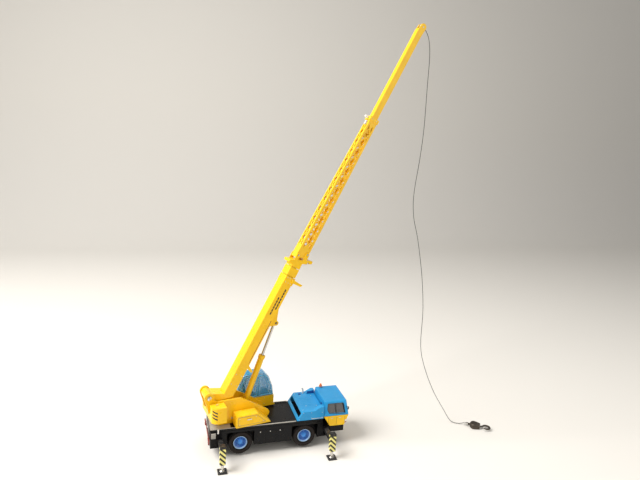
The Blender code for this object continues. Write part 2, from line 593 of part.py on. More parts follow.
def build_crane_cab(slew):
    near, far = CHEEK_OUTER_Y + GAP, 26.0 * MM
    base_low, base_high = 36.1 * MM, 49.2 * MM
    base_outline = [(-10 * MM, base_low), (37.6 * MM, base_low), (37.6 * MM, 37.4 * MM),
                    (36.0 * MM, 38.6 * MM),
                    (36.0 * MM, base_high), (-10 * MM, base_high)]
    base = object_from("crane_cab_base", plate_shape(base_outline, near, far), YELLOW, slew)
    bevel(base, 0.4 * MM)
    cut(base, box_shape((-8 * MM, near + 1.5 * MM, base_low - 1 * MM),
                        (34 * MM, far - 1.5 * MM, base_high - 1.6 * MM)))

    low = base_high + GAP
    silhouette = [(-4.0 * MM, low), (35.6 * MM, low), (34.0 * MM, 61 * MM), (28.8 * MM, 74.0 * MM),
                  (25.0 * MM, 78.4 * MM), (19.5 * MM, 80.0 * MM), (-2.0 * MM, 79.2 * MM), (-6.4 * MM,
                                                                                           75.5 * MM),
                  (-9.6 * MM, 64.0 * MM), (-9.6 * MM, 60.0 * MM)]
    glass = object_from("crane_cab_glass", plate_shape(silhouette, near, far), BLUE_GLASS, slew)
    bevel(glass, 0.9 * MM)
    wall = 1.2 * MM
    inner = [(-2.9 * MM, low - 1 * MM), (34.4 * MM, low - 1 * MM), (32.8 * MM, 60.8 * MM),
             (27.8 * MM, 73.4 * MM),
             (24.4 * MM, 77.2 * MM), (19.4 * MM, 78.8 * MM), (-1.5 * MM, 78.0 * MM), (-5.3 * MM, 75.0 * MM),
             (-8.4 * MM, 64.0 * MM), (-8.4 * MM, 60.3 * MM)]
    cut(glass, plate_shape(inner, near + wall, far - wall))

    y0, y1 = near + 3.4 * MM, far - 3.4 * MM
    seat_outline = [(-1.0 * MM, low), (12.0 * MM, low), (12.0 * MM, 54.5 * MM), (4.5 * MM, 55.0 * MM),
                    (2.0 * MM, 66.5 * MM), (-0.6 * MM, 66.5 * MM)]
    seat = object_from("operator_seat", plate_shape(seat_outline, y0, y1), GREY, slew)
    join(seat, box_shape((11.0 * MM, y0 + 0.4 * MM, low + 0.05 * MM), (31.0 * MM, y1 - 0.4 * MM, 51.4 * MM)),
         plate_shape([(22.0 * MM, 50 * MM), (30.8 * MM, 50 * MM), (28.5 * MM, 57.5 * MM),
                      (25.5 * MM, 58.2 * MM)],
                     y0 + 0.2 * MM, y1 - 0.2 * MM))


# ---- boom and jib -------------------------------------------------------------------------------------

def tube_shapes(start, end, half_width, low, high, wall):
    """The outside of a rectangular tube along X and the cutter for its bore, open at both ends."""
    outside = box_shape((start, -half_width, low), (end, half_width, high))
    bore = box_shape((start - 5 * MM, -half_width + wall, low + wall),
                     (end + 5 * MM, half_width - wall, high - wall))
    return outside, bore


def build_boom_base(luff):
    start = 15 * MM
    outside, bore = tube_shapes(start, BASE_SECTION_END, BOOM_HALF_WIDTH, BOOM_BOTTOM, BOOM_TOP, BOOM_WALL)
    boom = object_from("boom_base", outside, YELLOW, luff)
    cut(boom, bore)
    root = ([(16.5 * MM, BOOM_BOTTOM + 0.02 * MM), (16.5 * MM, BOOM_TOP - 0.02 * MM),
             (9.0 * MM, BOOM_TOP - 0.02 * MM)]
            + arc((0, 0), 4.7 * MM, -20, 190, 14)
            + [(-2.4 * MM, -9.0 * MM), (6.0 * MM, BOOM_BOTTOM + 4.0 * MM),
               (9.0 * MM, BOOM_BOTTOM + 0.02 * MM)])
    join(boom, plate_shape(root, -BOOM_HALF_WIDTH + 0.02 * MM, BOOM_HALF_WIDTH - 0.02 * MM))
    cut(boom, rod_shape((0, -20 * MM, 0), (0, 20 * MM, 0), PIVOT_PIN_RADIUS + GAP, 20))

    cx, cz = CLEVIS
    ear = [(cx - 7.5 * MM, BOOM_BOTTOM + 0.6 * MM), (cx + 21.0 * MM, BOOM_BOTTOM + 0.6 * MM),
           (cx + 2.8 * MM, cz + 0.6 * MM)] + arc((cx, cz), 2.9 * MM, 10, -170, 8)
    for y0, y1 in ((-4.9 * MM, -3.3 * MM), (3.3 * MM, 4.9 * MM)):
        join(boom, plate_shape(ear, y0, y1))
    cut(boom, rod_shape((cx, -6 * MM, cz), (cx, 6 * MM, cz), CLEVIS_PIN_RADIUS + GAP, 20))

    collar = 0.7 * MM
    ring = box_shape((BASE_SECTION_END - 9 * MM, -BOOM_HALF_WIDTH - collar, BOOM_BOTTOM - collar),
                     (BASE_SECTION_END - 0.05 * MM, BOOM_HALF_WIDTH + collar, BOOM_TOP - 0.05 * MM))
    join(boom, ring)
    cut(boom, box_shape((BASE_SECTION_END - 12 * MM, -BOOM_HALF_WIDTH + BOOM_WALL, BOOM_BOTTOM + BOOM_WALL),
                        (BASE_SECTION_END + 1 * MM, BOOM_HALF_WIDTH - BOOM_WALL, BOOM_TOP - BOOM_WALL)))
    near = -BOOM_HALF_WIDTH
    hook_plate = [(41.0 * MM, -33.0 * MM), (43.6 * MM, -33.4 * MM), (48.0 * MM, -25.8 * MM),
                  (50.5 * MM, -19.0 * MM),
                  (46.5 * MM, -18.6 * MM), (44.5 * MM, -24.4 * MM)]
    join(boom, plate_shape(hook_plate, near - 0.25 * MM, near + 1.1 * MM))
    tab = [(152.5 * MM, -24.0 * MM), (152.9 * MM, -37.0 * MM), (155.4 * MM, -38.2 * MM),
           (156.6 * MM, -24.0 * MM)]
    join(boom, plate_shape(tab, near - 1.9 * MM, near + 0.6 * MM))


def build_boom_sections(luff):
    half, low, high = BOOM_HALF_WIDTH - BOOM_WALL - GAP, BOOM_BOTTOM + BOOM_WALL + GAP, BOOM_TOP - BOOM_WALL - GAP
    wall = 1.0 * MM
    outside, bore = tube_shapes(36 * MM, MIDDLE_SECTION_END, half, low, high, wall)
    middle = object_from("boom_middle_section", outside, YELLOW, luff)
    nose = box_shape((BASE_SECTION_END + 2 * GAP, -BOOM_HALF_WIDTH, BOOM_BOTTOM),
                     (MIDDLE_SECTION_END - 0.05 * MM, BOOM_HALF_WIDTH, BOOM_TOP))
    join(middle, nose)
    cut(middle, bore)

    half, low, high = half - wall - GAP, low + wall + GAP, high - wall - GAP
    outside, bore = tube_shapes(42 * MM, 178 * MM, half, low, high, 0.9 * MM)
    head = object_from("boom_head_section", outside, YELLOW, luff)
    start = MIDDLE_SECTION_END + 2 * GAP
    outline = [(start, BOOM_BOTTOM), (start, BOOM_TOP), (172.0 * MM, BOOM_TOP), (172.6 * MM, -9.8 * MM),
               (175.4 * MM, -9.8 * MM), (185.0 * MM, -35.6 * MM), (184.2 * MM, -37.2 * MM), (181.6 * MM,
                                                                                             -37.0 * MM),
               (177.0 * MM, BOOM_BOTTOM)]
    join(head, plate_shape(outline, -7.4 * MM, 7.4 * MM))
    cut(head, bore)
    sheave_x, sheave_z = HEAD_SHEAVE
    cut(head, box_shape((170 * MM, -2.4 * MM, -40 * MM), (190 * MM, 2.4 * MM, -28.4 * MM)),
        rod_shape((sheave_x, -10 * MM, sheave_z), (sheave_x, 10 * MM, sheave_z), SHEAVE_SHAFT_RADIUS + GAP,
                  16))
    upper, lower = JIB_PINS
    ears = [[(upper[0] - 9 * MM, upper[1] - 2.2 * MM), (upper[0] - 9 * MM, upper[1] + 2.2 * MM)]
            + arc(upper, 2.2 * MM, 90, -90, 8),
            [(lower[0] - 9 * MM, lower[1] - 2.2 * MM), (lower[0] - 9 * MM, lower[1] + 2.2 * MM)]
            + arc(lower, 2.2 * MM, 90, -90, 8)]
    for outline in ears:
        for y0, y1 in ((-7.3 * MM, -6.4 * MM), (6.4 * MM, 7.3 * MM)):
            join(head, plate_shape(outline, y0, y1))
    for x, z in JIB_PINS:
        cut(head, rod_shape((x, -10 * MM, z), (x, 10 * MM, z), JIB_PIN_RADIUS + GAP, 16))

    sheave = object_from("head_sheave", rod_shape((sheave_x, -2.0 * MM, sheave_z),
                                                  (sheave_x, 2.0 * MM, sheave_z),
                                                  HEAD_SHEAVE_RADIUS, 28), STEEL, luff)
    join(sheave, rod_shape((sheave_x, -7.0 * MM, sheave_z), (sheave_x, 7.0 * MM, sheave_z),
                           SHEAVE_SHAFT_RADIUS, 16))


def jib_edges(x):
    """Bottom, top and half-width of the tapered lattice jib at a distance along the boom."""
    share = (x - JIB_START) / (JIB_END - JIB_START)
    low = -29.0 * MM
    high = (-14.8 - 3.4 * share) * MM
    half = (6.0 - 1.1 * share) * MM
    return low, high, half


def jib_shape(start, end, inset):
    """A tapered box along X, shrunk on its four long sides by inset."""
    shape = bmesh.new()
    rings = []
    for x in (start, end):
        low, high, half = jib_edges(x)
        low, high, half = low + inset, high - inset, half - inset
        rings.append([shape.verts.new((x, y, z)) for y, z in
                      ((-half, low), (half, low), (half, high), (-half, high))])
    shape.faces.new(rings[0])
    shape.faces.new(rings[1][::-1])
    for i in range(4):
        j = (i + 1) % 4
        shape.faces.new((rings[0][i], rings[1][i], rings[1][j], rings[0][j]))
    return shape


def braced_bay(start, length, low, high, is_first):
    """Holes of one cross-braced bay: a triangle at each chord and the diamond shared with the bay before it."""
    middle, half_height, centre = (low + high) / 2, (high - low) / 2, start + length / 2
    slant = hypot(length / 2, half_height)
    inner_radius = length / 2 * half_height / (length / 2 + slant)
    shrink = 1 - BRACE_WIDTH / 2 / inner_radius
    holes = []
    for chord, side in ((low, 1), (high, -1)):
        inner = chord + side * inner_radius
        corners = ((start, chord), (start + length, chord), (centre, middle))
        holes.append([(centre + (x - centre) * shrink, inner + (z - inner) * shrink) for x, z in corners])
    if not is_first:
        share = 1 - BRACE_WIDTH / 2 * slant / (length / 2 * half_height)
        reach, rise = length / 2 * share, half_height * share
        holes.append([(start - reach, middle), (start, middle - rise), (start + reach, middle),
                      (start, middle + rise)])
    return holes


def build_jib(luff):
    jib = object_from("lattice_jib", jib_shape(JIB_START, JIB_END, 0), JIB_YELLOW, luff)
    cut(jib, jib_shape(JIB_START - 5 * MM, JIB_END + 5 * MM, 1.1 * MM))
    first, last = 193 * MM, JIB_END - 7 * MM
    bay = (last - first) / JIB_BAYS
    side_cuts, top_cuts = [], []
    for i in range(JIB_BAYS):
        low, high, half = jib_edges(first + (i + 0.5) * bay)
        side_cuts += [plate_shape(hole, -10 * MM, 10 * MM)
                      for hole in braced_bay(first + i * bay, bay, low + 1.7 * MM, high - 1.7 * MM, i == 0)]
        top_cuts += [plate_shape(hole, -40 * MM, -5 * MM, "Z")
                     for hole in braced_bay(first + i * bay, bay, -half + 1.5 * MM, half - 1.5 * MM, i == 0)]
    cut(jib, merged(side_cuts), merged(top_cuts))
    foot = [(170 * MM, -5 * MM), (170 * MM, -40 * MM), (187.2 * MM, -40 * MM), (178.2 * MM, -5 * MM)]
    cut(jib, plate_shape(foot, -12 * MM, 12 * MM))
    low, high, half = jib_edges(JIB_END)
    collar = box_shape((JIB_END - 5 * MM, -half - 0.7 * MM, low - 0.7 * MM),
                       (JIB_END - 0.1 * MM, half + 0.7 * MM, high + 1.0 * MM))
    join(jib, collar)
    slide_low, slide_high = JIB_TIP_CENTRE - JIB_TIP_HALF[1] - GAP, JIB_TIP_CENTRE + JIB_TIP_HALF[1] + GAP
    cut(jib, box_shape((JIB_END - 12 * MM, -JIB_TIP_HALF[0] - GAP, slide_low),
                       (JIB_END + 5 * MM, JIB_TIP_HALF[0] + GAP, slide_high)))
    peg_x = JIB_END - 2.6 * MM
    cut(jib, rod_shape((peg_x, 0, slide_high - 1 * MM), (peg_x, 0, -5 * MM), 0.9 * MM + GAP, 16))
    for x, z in JIB_PINS:
        cut(jib, rod_shape((x, -10 * MM, z), (x, 10 * MM, z), JIB_PIN_RADIUS + GAP, 16))

    for place_name, (x, z) in zip(("upper", "lower"), JIB_PINS):
        object_from(f"jib_pin_{place_name}", rod_shape((x, -8.0 * MM, z), (x, 8.0 * MM, z), JIB_PIN_RADIUS,
                                                       16),
                    STEEL, luff)
    peg = object_from("jib_lock_peg", rod_shape((peg_x, 0, slide_high), (peg_x, 0, -13.6 * MM), 0.9 * MM, 16),
                      WHITE, luff)
    join(peg, rod_shape((peg_x, 0, -15.8 * MM), (peg_x, 0, -12.4 * MM), 1.5 * MM, 16))


def build_jib_tip(luff):
    half_y, half_z = JIB_TIP_HALF
    low, high = JIB_TIP_CENTRE - half_z, JIB_TIP_CENTRE + half_z
    outside, bore = tube_shapes(346 * MM, 486 * MM, half_y, low, high, 0.9 * MM)
    tip = object_from("jib_tip", outside, JIB_YELLOW, luff)
    cut(tip, bore)
    sx, sz = TIP_SHEAVE
    nose = ([(478 * MM, low + 0.05 * MM), (478 * MM, high - 0.05 * MM), (485 * MM, high - 0.05 * MM)]
            + arc((sx, sz), 4.0 * MM, 60, -90, 8))
    for y0, y1 in ((-half_y + 0.02 * MM, -2.0 * MM), (2.0 * MM, half_y - 0.02 * MM)):
        join(tip, plate_shape(nose, y0, y1))
    cut(tip, rod_shape((sx, -10 * MM, sz), (sx, 10 * MM, sz), SHEAVE_SHAFT_RADIUS + GAP, 16))
    sheave = object_from("tip_sheave", rod_shape((sx, -1.6 * MM, sz), (sx, 1.6 * MM, sz), TIP_SHEAVE_RADIUS,
                                                 28),
                         STEEL, luff)
    join(sheave, rod_shape((sx, -3.4 * MM, sz), (sx, 3.4 * MM, sz), SHEAVE_SHAFT_RADIUS, 16))


def build_cylinder(slew, luff_matrix):
    px, pz = LUFF_PIVOT
    clevis = luff_matrix @ Vector((CLEVIS[0], 0, CLEVIS[1]))
    rise = atan2(clevis.z - CYLINDER_FOOT[1], clevis.x - CYLINDER_FOOT[0])
    length = hypot(clevis.z - CYLINDER_FOOT[1], clevis.x - CYLINDER_FOOT[0])
    lift = make_empty("cylinder_frame", slew, (CYLINDER_FOOT[0], 0, CYLINDER_FOOT[1]), (0, -rise, 0))
    bore = CYLINDER_ROD_RADIUS + GAP
    barrel = object_from("cylinder_barrel", rod_shape((-2.0 * MM, 0, 0), (CYLINDER_BARREL_LENGTH, 0, 0),
                                                      CYLINDER_RADIUS, 28), YELLOW, lift)
    join(barrel, rod_shape((CYLINDER_BARREL_LENGTH - 4 * MM, 0, 0),
                           (CYLINDER_BARREL_LENGTH - 0.05 * MM, 0, 0),
                           CYLINDER_RADIUS + 0.5 * MM, 28))
    cut(barrel, rod_shape((1.5 * MM, 0, 0), (CYLINDER_BARREL_LENGTH + 5 * MM, 0, 0), bore, 20))
    rod_start = length - CYLINDER_BARREL_LENGTH + 0.5 * MM
    rod = object_from("cylinder_rod", rod_shape((rod_start, 0, 0), (length - 1.5 * MM, 0, 0),
                                                CYLINDER_ROD_RADIUS, 20),
                      STEEL, lift)
    join(rod, rod_shape((length, -2.9 * MM, 0), (length, 2.9 * MM, 0), 2.5 * MM, 20),
         rod_shape((length, -5.6 * MM, 0), (length, 5.6 * MM, 0), CLEVIS_PIN_RADIUS, 20))


# ---- rope and hook ------------------------------------------------------------------------------------

def smooth_route(route, count):
    """Points at even steps on a Catmull-Rom curve through the route's points."""
    padded = [route[0] * 2 - route[1]] + list(route) + [route[-1] * 2 - route[-2]]
    fine = []
    for i in range(1, len(padded) - 2):
        before, start, end, after = padded[i - 1:i + 3]
        for step in range(24):
            t = step / 24
            fine.append(0.5 * (2 * start + (end - before) * t + (2 * before - 5 * start + 4 * end - after) * t * t
                               + (3 * start - before - 3 * end + after) * t ** 3))
    fine.append(route[-1])
    lengths = [0.0]
    for first, second in zip(fine, fine[1:]):
        lengths.append(lengths[-1] + (second - first).length)
    points, cursor = [], 0
    for i in range(count):
        target = lengths[-1] * i / (count - 1)
        while cursor < len(fine) - 2 and lengths[cursor + 1] < target:
            cursor += 1
        share = (target - lengths[cursor]) / (lengths[cursor + 1] - lengths[cursor])
        points.append(fine[cursor].lerp(fine[cursor + 1], min(share, 1.0)))
    return points


def build_rope(tip_exit, hook_eye):
    """The rope hangs from the tip sheave in slack bows and ends in the hook block lying on the ground."""
    ground = ROPE_RADIUS + 0.05 * MM
    sway = hook_eye - tip_exit
    sway.z = 0
    sway.normalize()
    hanging = [(0, 0), (6, 12), (9, 32), (9.5, 71), (10, 116), (8.4, 152), (5, 196), (7, 225), (15, 255),
               (24, 300), (29.5, 345), (31, 393), (38, 421), (52, 452), (67, 475)]
    route = [tip_exit + sway * (aside * MM) + Vector((0, 0, -drop * MM)) for aside, drop in hanging]
    for aside in (80, 90):
        lying = tip_exit + sway * (aside * MM)
        route.append(Vector((lying.x, lying.y, ground)))
    route.append(hook_eye)
    points = smooth_route(route, ROPE_POINTS)
    for point in points:
        point.z = max(point.z, ground)
    curve = bpy.data.curves.new("hoist_rope", "CURVE")
    curve.dimensions = "3D"
    curve.bevel_depth = ROPE_RADIUS
    curve.bevel_resolution = 2
    curve.use_fill_caps = True
    spline = curve.splines.new("POLY")
    spline.points.add(len(points) - 1)
    for point, place in zip(spline.points, points):
        point.co = (*place, 1)
    curve.materials.append(THREAD)
    rope = bpy.data.objects.new("hoist_rope", curve)
    PARTS.objects.link(rope)


def build_hook():
    """The hook lies on its side; its block hangs by a lug on the pin of the rope's end fitting."""
    place = make_empty("hook_place", None, HOOK_PLACE, (0, 0, HOOK_HEADING))
    middle = HOOK_BLOCK_THICKNESS / 2
    fitting = object_from("rope_end_fitting", rod_shape((ROPE_END_X, 0, middle), (-1.6 * MM, 0, middle),
                                                        1.0 * MM, 16),
                          STEEL, place)
    for side in (1, -1):
        y0, y1 = sorted((side * (LUG_THICKNESS / 2 + GAP), side * (LUG_THICKNESS / 2 + 2.5 * GAP)))
        ear = [(-2.4 * MM, middle - 0.9 * MM), (-2.4 * MM, middle + 0.9 * MM)] + arc((0, middle), 0.95 * MM,
                                                                                     90, -90, 6)
        join(fitting, plate_shape(ear, y0, y1))
    join(fitting, rod_shape((0, -1.5 * MM, middle), (0, 1.5 * MM, middle), LUG_PIN_RADIUS, 16))

    start = 3.4 * MM
    end = start + 12.6 * MM
    outline = arc((start + 6.2 * MM, 0), 6.2 * MM, 100, 260, 10) + [(end, -3.2 * MM), (end, 3.2 * MM)]
    block = object_from("hook_block", plate_shape(outline, 0, HOOK_BLOCK_THICKNESS, "Z"), DARK_METAL, place)
    bevel(block, 0.6 * MM)
    lug = [(start + 1.0 * MM, middle - 1.2 * MM), (start + 1.0 * MM, middle + 1.2 * MM)] + arc((0, middle),
                                                                                               1.3 * MM,
                                                                                              90, 270, 8)
    join(block, plate_shape(lug, -LUG_THICKNESS / 2, LUG_THICKNESS / 2))
    cut(block, rod_shape((0, -2 * MM, middle), (0, 2 * MM, middle), LUG_PIN_RADIUS + GAP, 16))

    centre, outer, inner = (end + 7.6 * MM, 0.8 * MM), 5.6 * MM, 3.1 * MM
    shank = end + GAP
    hook_outline = ([(shank, -1.3 * MM), (shank, 1.3 * MM), (shank + 2.3 * MM, 1.6 * MM)]
                    + arc(centre, outer, 150, -120, 16)[1:]
                    + arc(centre, inner, -120, 140, 14)
                    + [(shank + 3.3 * MM, -1.3 * MM)])
    object_from("hook", plate_shape(hook_outline, middle - 1.4 * MM, middle + 1.4 * MM, "Z"), DARK_METAL,
                place)


# ---- assembly -----------------------------------------------------------------------------------------

def main():
    carrier = make_empty("carrier", None, (REAR_AXLE_X, 0, 0))
    build_chassis(carrier)
    build_deck(carrier)
    build_hood(carrier)
    build_driver_cab(carrier)
    build_rear_fittings(carrier)
    for end_name, x in (("rear", 0.0), ("front", WHEELBASE)):
        build_wheelset(carrier, end_name, x)
    for end_name in OUTRIGGER_X:
        for side_name, side in (("left", 1), ("right", -1)):
            build_outrigger(carrier, end_name, side_name, side)

    slew = make_empty("slew_axis", carrier, (SLEW_X, 0, 0), (0, 0, SLEW_REST))
    build_turntable_frame(slew)
    build_winch(slew)
    build_side_locker(slew)
    build_counterweight(slew)
    build_crane_cab(slew)

    luff = make_empty("luff_axis", slew, (LUFF_PIVOT[0], 0, LUFF_PIVOT[1]), (0, -BOOM_REST, 0))
    build_boom_base(luff)
    build_boom_sections(luff)
    build_jib(luff)
    build_jib_tip(luff)
    luff_matrix = Matrix.Translation((LUFF_PIVOT[0], 0, LUFF_PIVOT[1])) @ Matrix.Rotation(-BOOM_REST, 4, "Y")
    build_cylinder(slew, luff_matrix)

    slew_matrix = Matrix.Translation((REAR_AXLE_X + SLEW_X, 0, 0)) @ Matrix.Rotation(SLEW_REST, 4, "Z")
    world = slew_matrix @ luff_matrix
    sheave = world @ Vector((TIP_SHEAVE[0], 0, TIP_SHEAVE[1]))
    outward = slew_matrix.to_3x3() @ Vector((1, 0, 0))
    tip_exit = sheave + outward * (TIP_SHEAVE_RADIUS + ROPE_RADIUS + GAP)
    build_hook()
    hook_matrix = Matrix.Translation(HOOK_PLACE) @ Matrix.Rotation(HOOK_HEADING, 4, "Z")
    hook_eye = hook_matrix @ Vector((ROPE_END_X - GAP, 0, HOOK_BLOCK_THICKNESS / 2))
    build_rope(tip_exit, hook_eye)


main()
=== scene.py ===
"""Looks of a 1:50 die-cast two-axle truck crane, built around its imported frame.

Every new piece is a surface worked out with numpy in the axes of its own sub-assembly and rides on that body.
Sizes and places along such axes are in millimetres. Places in the row frame are in metres.
"""

import json
import logging
from dataclasses import dataclass, field
from enum import Enum
from typing import NamedTuple

import bmesh
import bpy
import numpy as np
from mathutils import Matrix


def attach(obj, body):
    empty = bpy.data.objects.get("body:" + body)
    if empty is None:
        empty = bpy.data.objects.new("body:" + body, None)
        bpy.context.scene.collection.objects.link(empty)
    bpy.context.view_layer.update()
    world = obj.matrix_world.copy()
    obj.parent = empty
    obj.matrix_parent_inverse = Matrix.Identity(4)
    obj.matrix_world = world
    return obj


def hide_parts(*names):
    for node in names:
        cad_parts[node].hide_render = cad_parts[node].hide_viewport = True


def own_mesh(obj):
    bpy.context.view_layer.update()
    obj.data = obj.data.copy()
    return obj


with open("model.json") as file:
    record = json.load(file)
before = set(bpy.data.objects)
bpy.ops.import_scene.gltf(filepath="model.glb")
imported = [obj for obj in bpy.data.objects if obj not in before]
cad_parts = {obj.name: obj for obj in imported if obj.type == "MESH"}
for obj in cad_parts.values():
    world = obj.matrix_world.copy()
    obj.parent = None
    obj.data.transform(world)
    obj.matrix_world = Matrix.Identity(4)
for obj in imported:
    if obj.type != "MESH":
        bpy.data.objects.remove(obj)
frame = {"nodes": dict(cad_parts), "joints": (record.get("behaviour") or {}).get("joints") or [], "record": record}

LOG = logging.getLogger("truck_crane")
MM = 0.001
WELD = 1.0e-6
Array = np.ndarray
Colour = tuple[float, float, float]
NODES = frame["nodes"]
JOINTS = {joint["name"]: joint for joint in frame["joints"]}


class Side(Enum):
    """The crane's two sides, as seen by its driver."""

    LEFT = 1
    RIGHT = -1

    @property
    def word(self) -> str:
        """The side's name in node names."""
        return self.name.lower()


class End(Enum):
    """The carrier's two ends."""

    FRONT = "front"
    REAR = "rear"


# ---- axes --------------------------------------------------------------------------------------------------

@dataclass(frozen=True)
class Axes:
    """A right-handed set of axes: an origin and three unit directions, in the row frame."""

    origin: Array
    along: Array
    side: Array
    up: Array

    @property
    def basis(self) -> Array:
        """The three directions as the rows of a matrix."""
        return np.stack((self.along, self.side, self.up))

    def world(self, local: Array) -> Array:
        """Points given in millimetres along these axes, in the row frame."""
        return self.origin + (np.asarray(local, float) * MM) @ self.basis

    def local(self, world: Array) -> Array:
        """Points of the row frame, given in millimetres along these axes."""
        return (np.asarray(world, float) - self.origin) @ self.basis.T / MM

    def moved(self, x: float = 0.0, y: float = 0.0, z: float = 0.0) -> "Axes":
        """The same axes with their origin moved along them."""
        return Axes(self.world((x, y, z)), self.along, self.side, self.up)

    def along_side(self) -> "Axes":
        """The same axes renamed, so that the old side is the new along."""
        return Axes(self.origin, self.side, self.up, self.along)

    def along_up(self) -> "Axes":
        """The same axes renamed, so that the old up is the new along."""
        return Axes(self.origin, self.up, self.along, self.side)

    def span(self, node: str) -> tuple[Array, Array]:
        """Lowest and highest corners of a CAD node, measured along these axes.

        Args:
            node: the CAD node's name.

        Returns:
            The two corners, in millimetres.
        """
        vertices = NODES[node].data.vertices
        places = np.empty(len(vertices) * 3)
        vertices.foreach_get("co", places)
        measured = self.local(places.reshape(-1, 3))
        return measured.min(0), measured.max(0)

    def middle(self, node: str) -> Array:
        """The middle of a CAD node's box along these axes."""
        return np.add(*self.span(node)) / 2

    def half_size(self, node: str) -> Array:
        """Half the size of a CAD node's box along these axes."""
        low, high = self.span(node)
        return (high - low) / 2


def unit(vector: Array) -> Array:
    """A vector or rows of vectors, each divided by its length."""
    vector = np.asarray(vector, float)
    return vector / np.linalg.norm(vector, axis=-1, keepdims=True)


def joint_axis(name: str) -> Array:
    """Unit axis of a joint."""
    return unit(JOINTS[name]["axis"])


def joint_place(name: str) -> Array:
    """A point on a hinge's axis."""
    return np.array(JOINTS[name]["pos_m"], float)


def body_of(node: str) -> str:
    """The body that a CAD node belongs to."""
    return next(body for body, members in frame["record"]["behaviour"]["bodies"].items() if node in members)


UP = np.array((0.0, 0.0, 1.0))
LATERAL = joint_axis("winch_spin")
FORWARD = np.cross(LATERAL, UP)
BOOM_ALONG = joint_axis("boom_middle_extend")
CARRIER = Axes(joint_place("rear_axle_spin") * (1, 1, 0), np.array((1.0, 0, 0)), np.array((0, 1.0, 0)), UP)
SLEW = Axes(joint_place("slew"), FORWARD, LATERAL, UP)
BOOM = Axes(joint_place("boom_luff"), BOOM_ALONG, LATERAL, np.cross(BOOM_ALONG, LATERAL))
CYLINDER_ALONG = -joint_axis("cylinder_extend")
CYLINDER = Axes(joint_place("cylinder_tilt"), CYLINDER_ALONG, LATERAL, np.cross(CYLINDER_ALONG, LATERAL))
HOOK_SIDE = joint_axis("hook_tilt")
HOOK = Axes(joint_place("hook_tilt"), np.cross(HOOK_SIDE, UP), HOOK_SIDE, UP)
CORNERS = np.array(((1, 1, 0), (-1, 1, 0), (-1, -1, 0), (1, -1, 0)))


def hinge_axes(joint: str) -> Axes:
    """Axes at a hinge that lies across the crane: along its pin, side up."""
    return Axes(joint_place(joint), LATERAL, UP, FORWARD)


def rows(*columns: float | Array) -> Array:
    """Columns side by side as rows of numbers; a single number fills its column."""
    return np.column_stack(np.broadcast_arrays(*columns))


# ---- surfaces ----------------------------------------------------------------------------------------------

class Shell(NamedTuple):
    """A surface as points and four-cornered faces."""

    points: Array
    faces: Array


def grid_faces(rows: int, columns: int, wrap_rows: bool, wrap_columns: bool) -> Array:
    """Faces that join each point of a grid to its neighbours in the next row and column."""
    index = np.arange(rows * columns).reshape(rows, columns)
    if wrap_columns:
        index = np.hstack((index, index[:, :1]))
    if wrap_rows:
        index = np.vstack((index, index[:1]))
    corners = (index[:-1, :-1], index[1:, :-1], index[1:, 1:], index[:-1, 1:])
    return np.stack(corners, axis=-1).reshape(-1, 4)


def grid_shell(points: Array, wrap_rows: bool = False, wrap_columns: bool = True) -> Shell:
    """A shell over one grid of points, or over several equal grids stacked in front.

    Args:
        points: an array of shape (rows, columns, 3) or (grids, rows, columns, 3).
        wrap_rows: whether the last row joins the first.
        wrap_columns: whether the last column joins the first.

    Returns:
        The shell.
    """
    points = points[None] if points.ndim == 3 else points
    grids, rows, columns, _ = points.shape
    faces = grid_faces(rows, columns, wrap_rows, wrap_columns)
    offsets = np.arange(grids)[:, None, None] * rows * columns
    return Shell(points.reshape(-1, 3), (faces[None] + offsets).reshape(-1, 4))


def turned(along: Array, radius: Array, angle: Array) -> Array:
    """Points (along, radius * cos a, radius * sin a), one row for each place along and one column for each angle."""
    return np.stack(np.broadcast_arrays(along, radius * np.cos(angle), radius * np.sin(angle)), axis=-1)


def revolved(axes: Axes, profile: list[tuple[float, float]] | Array, steps: int = 48) -> Shell:
    """A profile of (along, radius) pairs turned about the axes' along direction.

    The point at angle a is along * A + radius * (cos a * S + sin a * U), with A, S and U the axes' directions.
    """
    profile = np.asarray(profile, float)
    angle = np.linspace(0, 2 * np.pi, steps, endpoint=False)
    return grid_shell(axes.world(turned(profile[:, :1], profile[:, 1:], angle)))


def swept(path: Array, radius: float | Array, reference: Array, columns: int = 12, closed: bool = False) -> Shell:
    """A round tube of a radius in millimetres along a path in the row frame.

    Each ring lies across the path's tangent T. Its directions are S = reference x T and N = T x S, and its points
    are the path's point + radius * (cos a * S + sin a * N). An open tube's ends shrink to their middle.
    """
    path = np.asarray(path, float)
    radius = np.broadcast_to(radius, len(path)).astype(float)
    tangent = unit(np.roll(path, -1, 0) - np.roll(path, 1, 0) if closed else np.gradient(path, axis=0))
    side = unit(np.cross(reference, tangent))
    normal = np.cross(tangent, side)
    if not closed:
        ends = (slice(0, 1), slice(-1, None))
        path, side, normal = (np.vstack((a[ends[0]], a, a[ends[1]])) for a in (path, side, normal))
        radius = np.hstack((0.0, radius, 0.0))
    angle = np.linspace(0, 2 * np.pi, columns, endpoint=False)[None, :, None]
    ring = np.cos(angle) * side[:, None] + np.sin(angle) * normal[:, None]
    return grid_shell(path[:, None] + radius[:, None, None] * MM * ring, wrap_rows=closed)


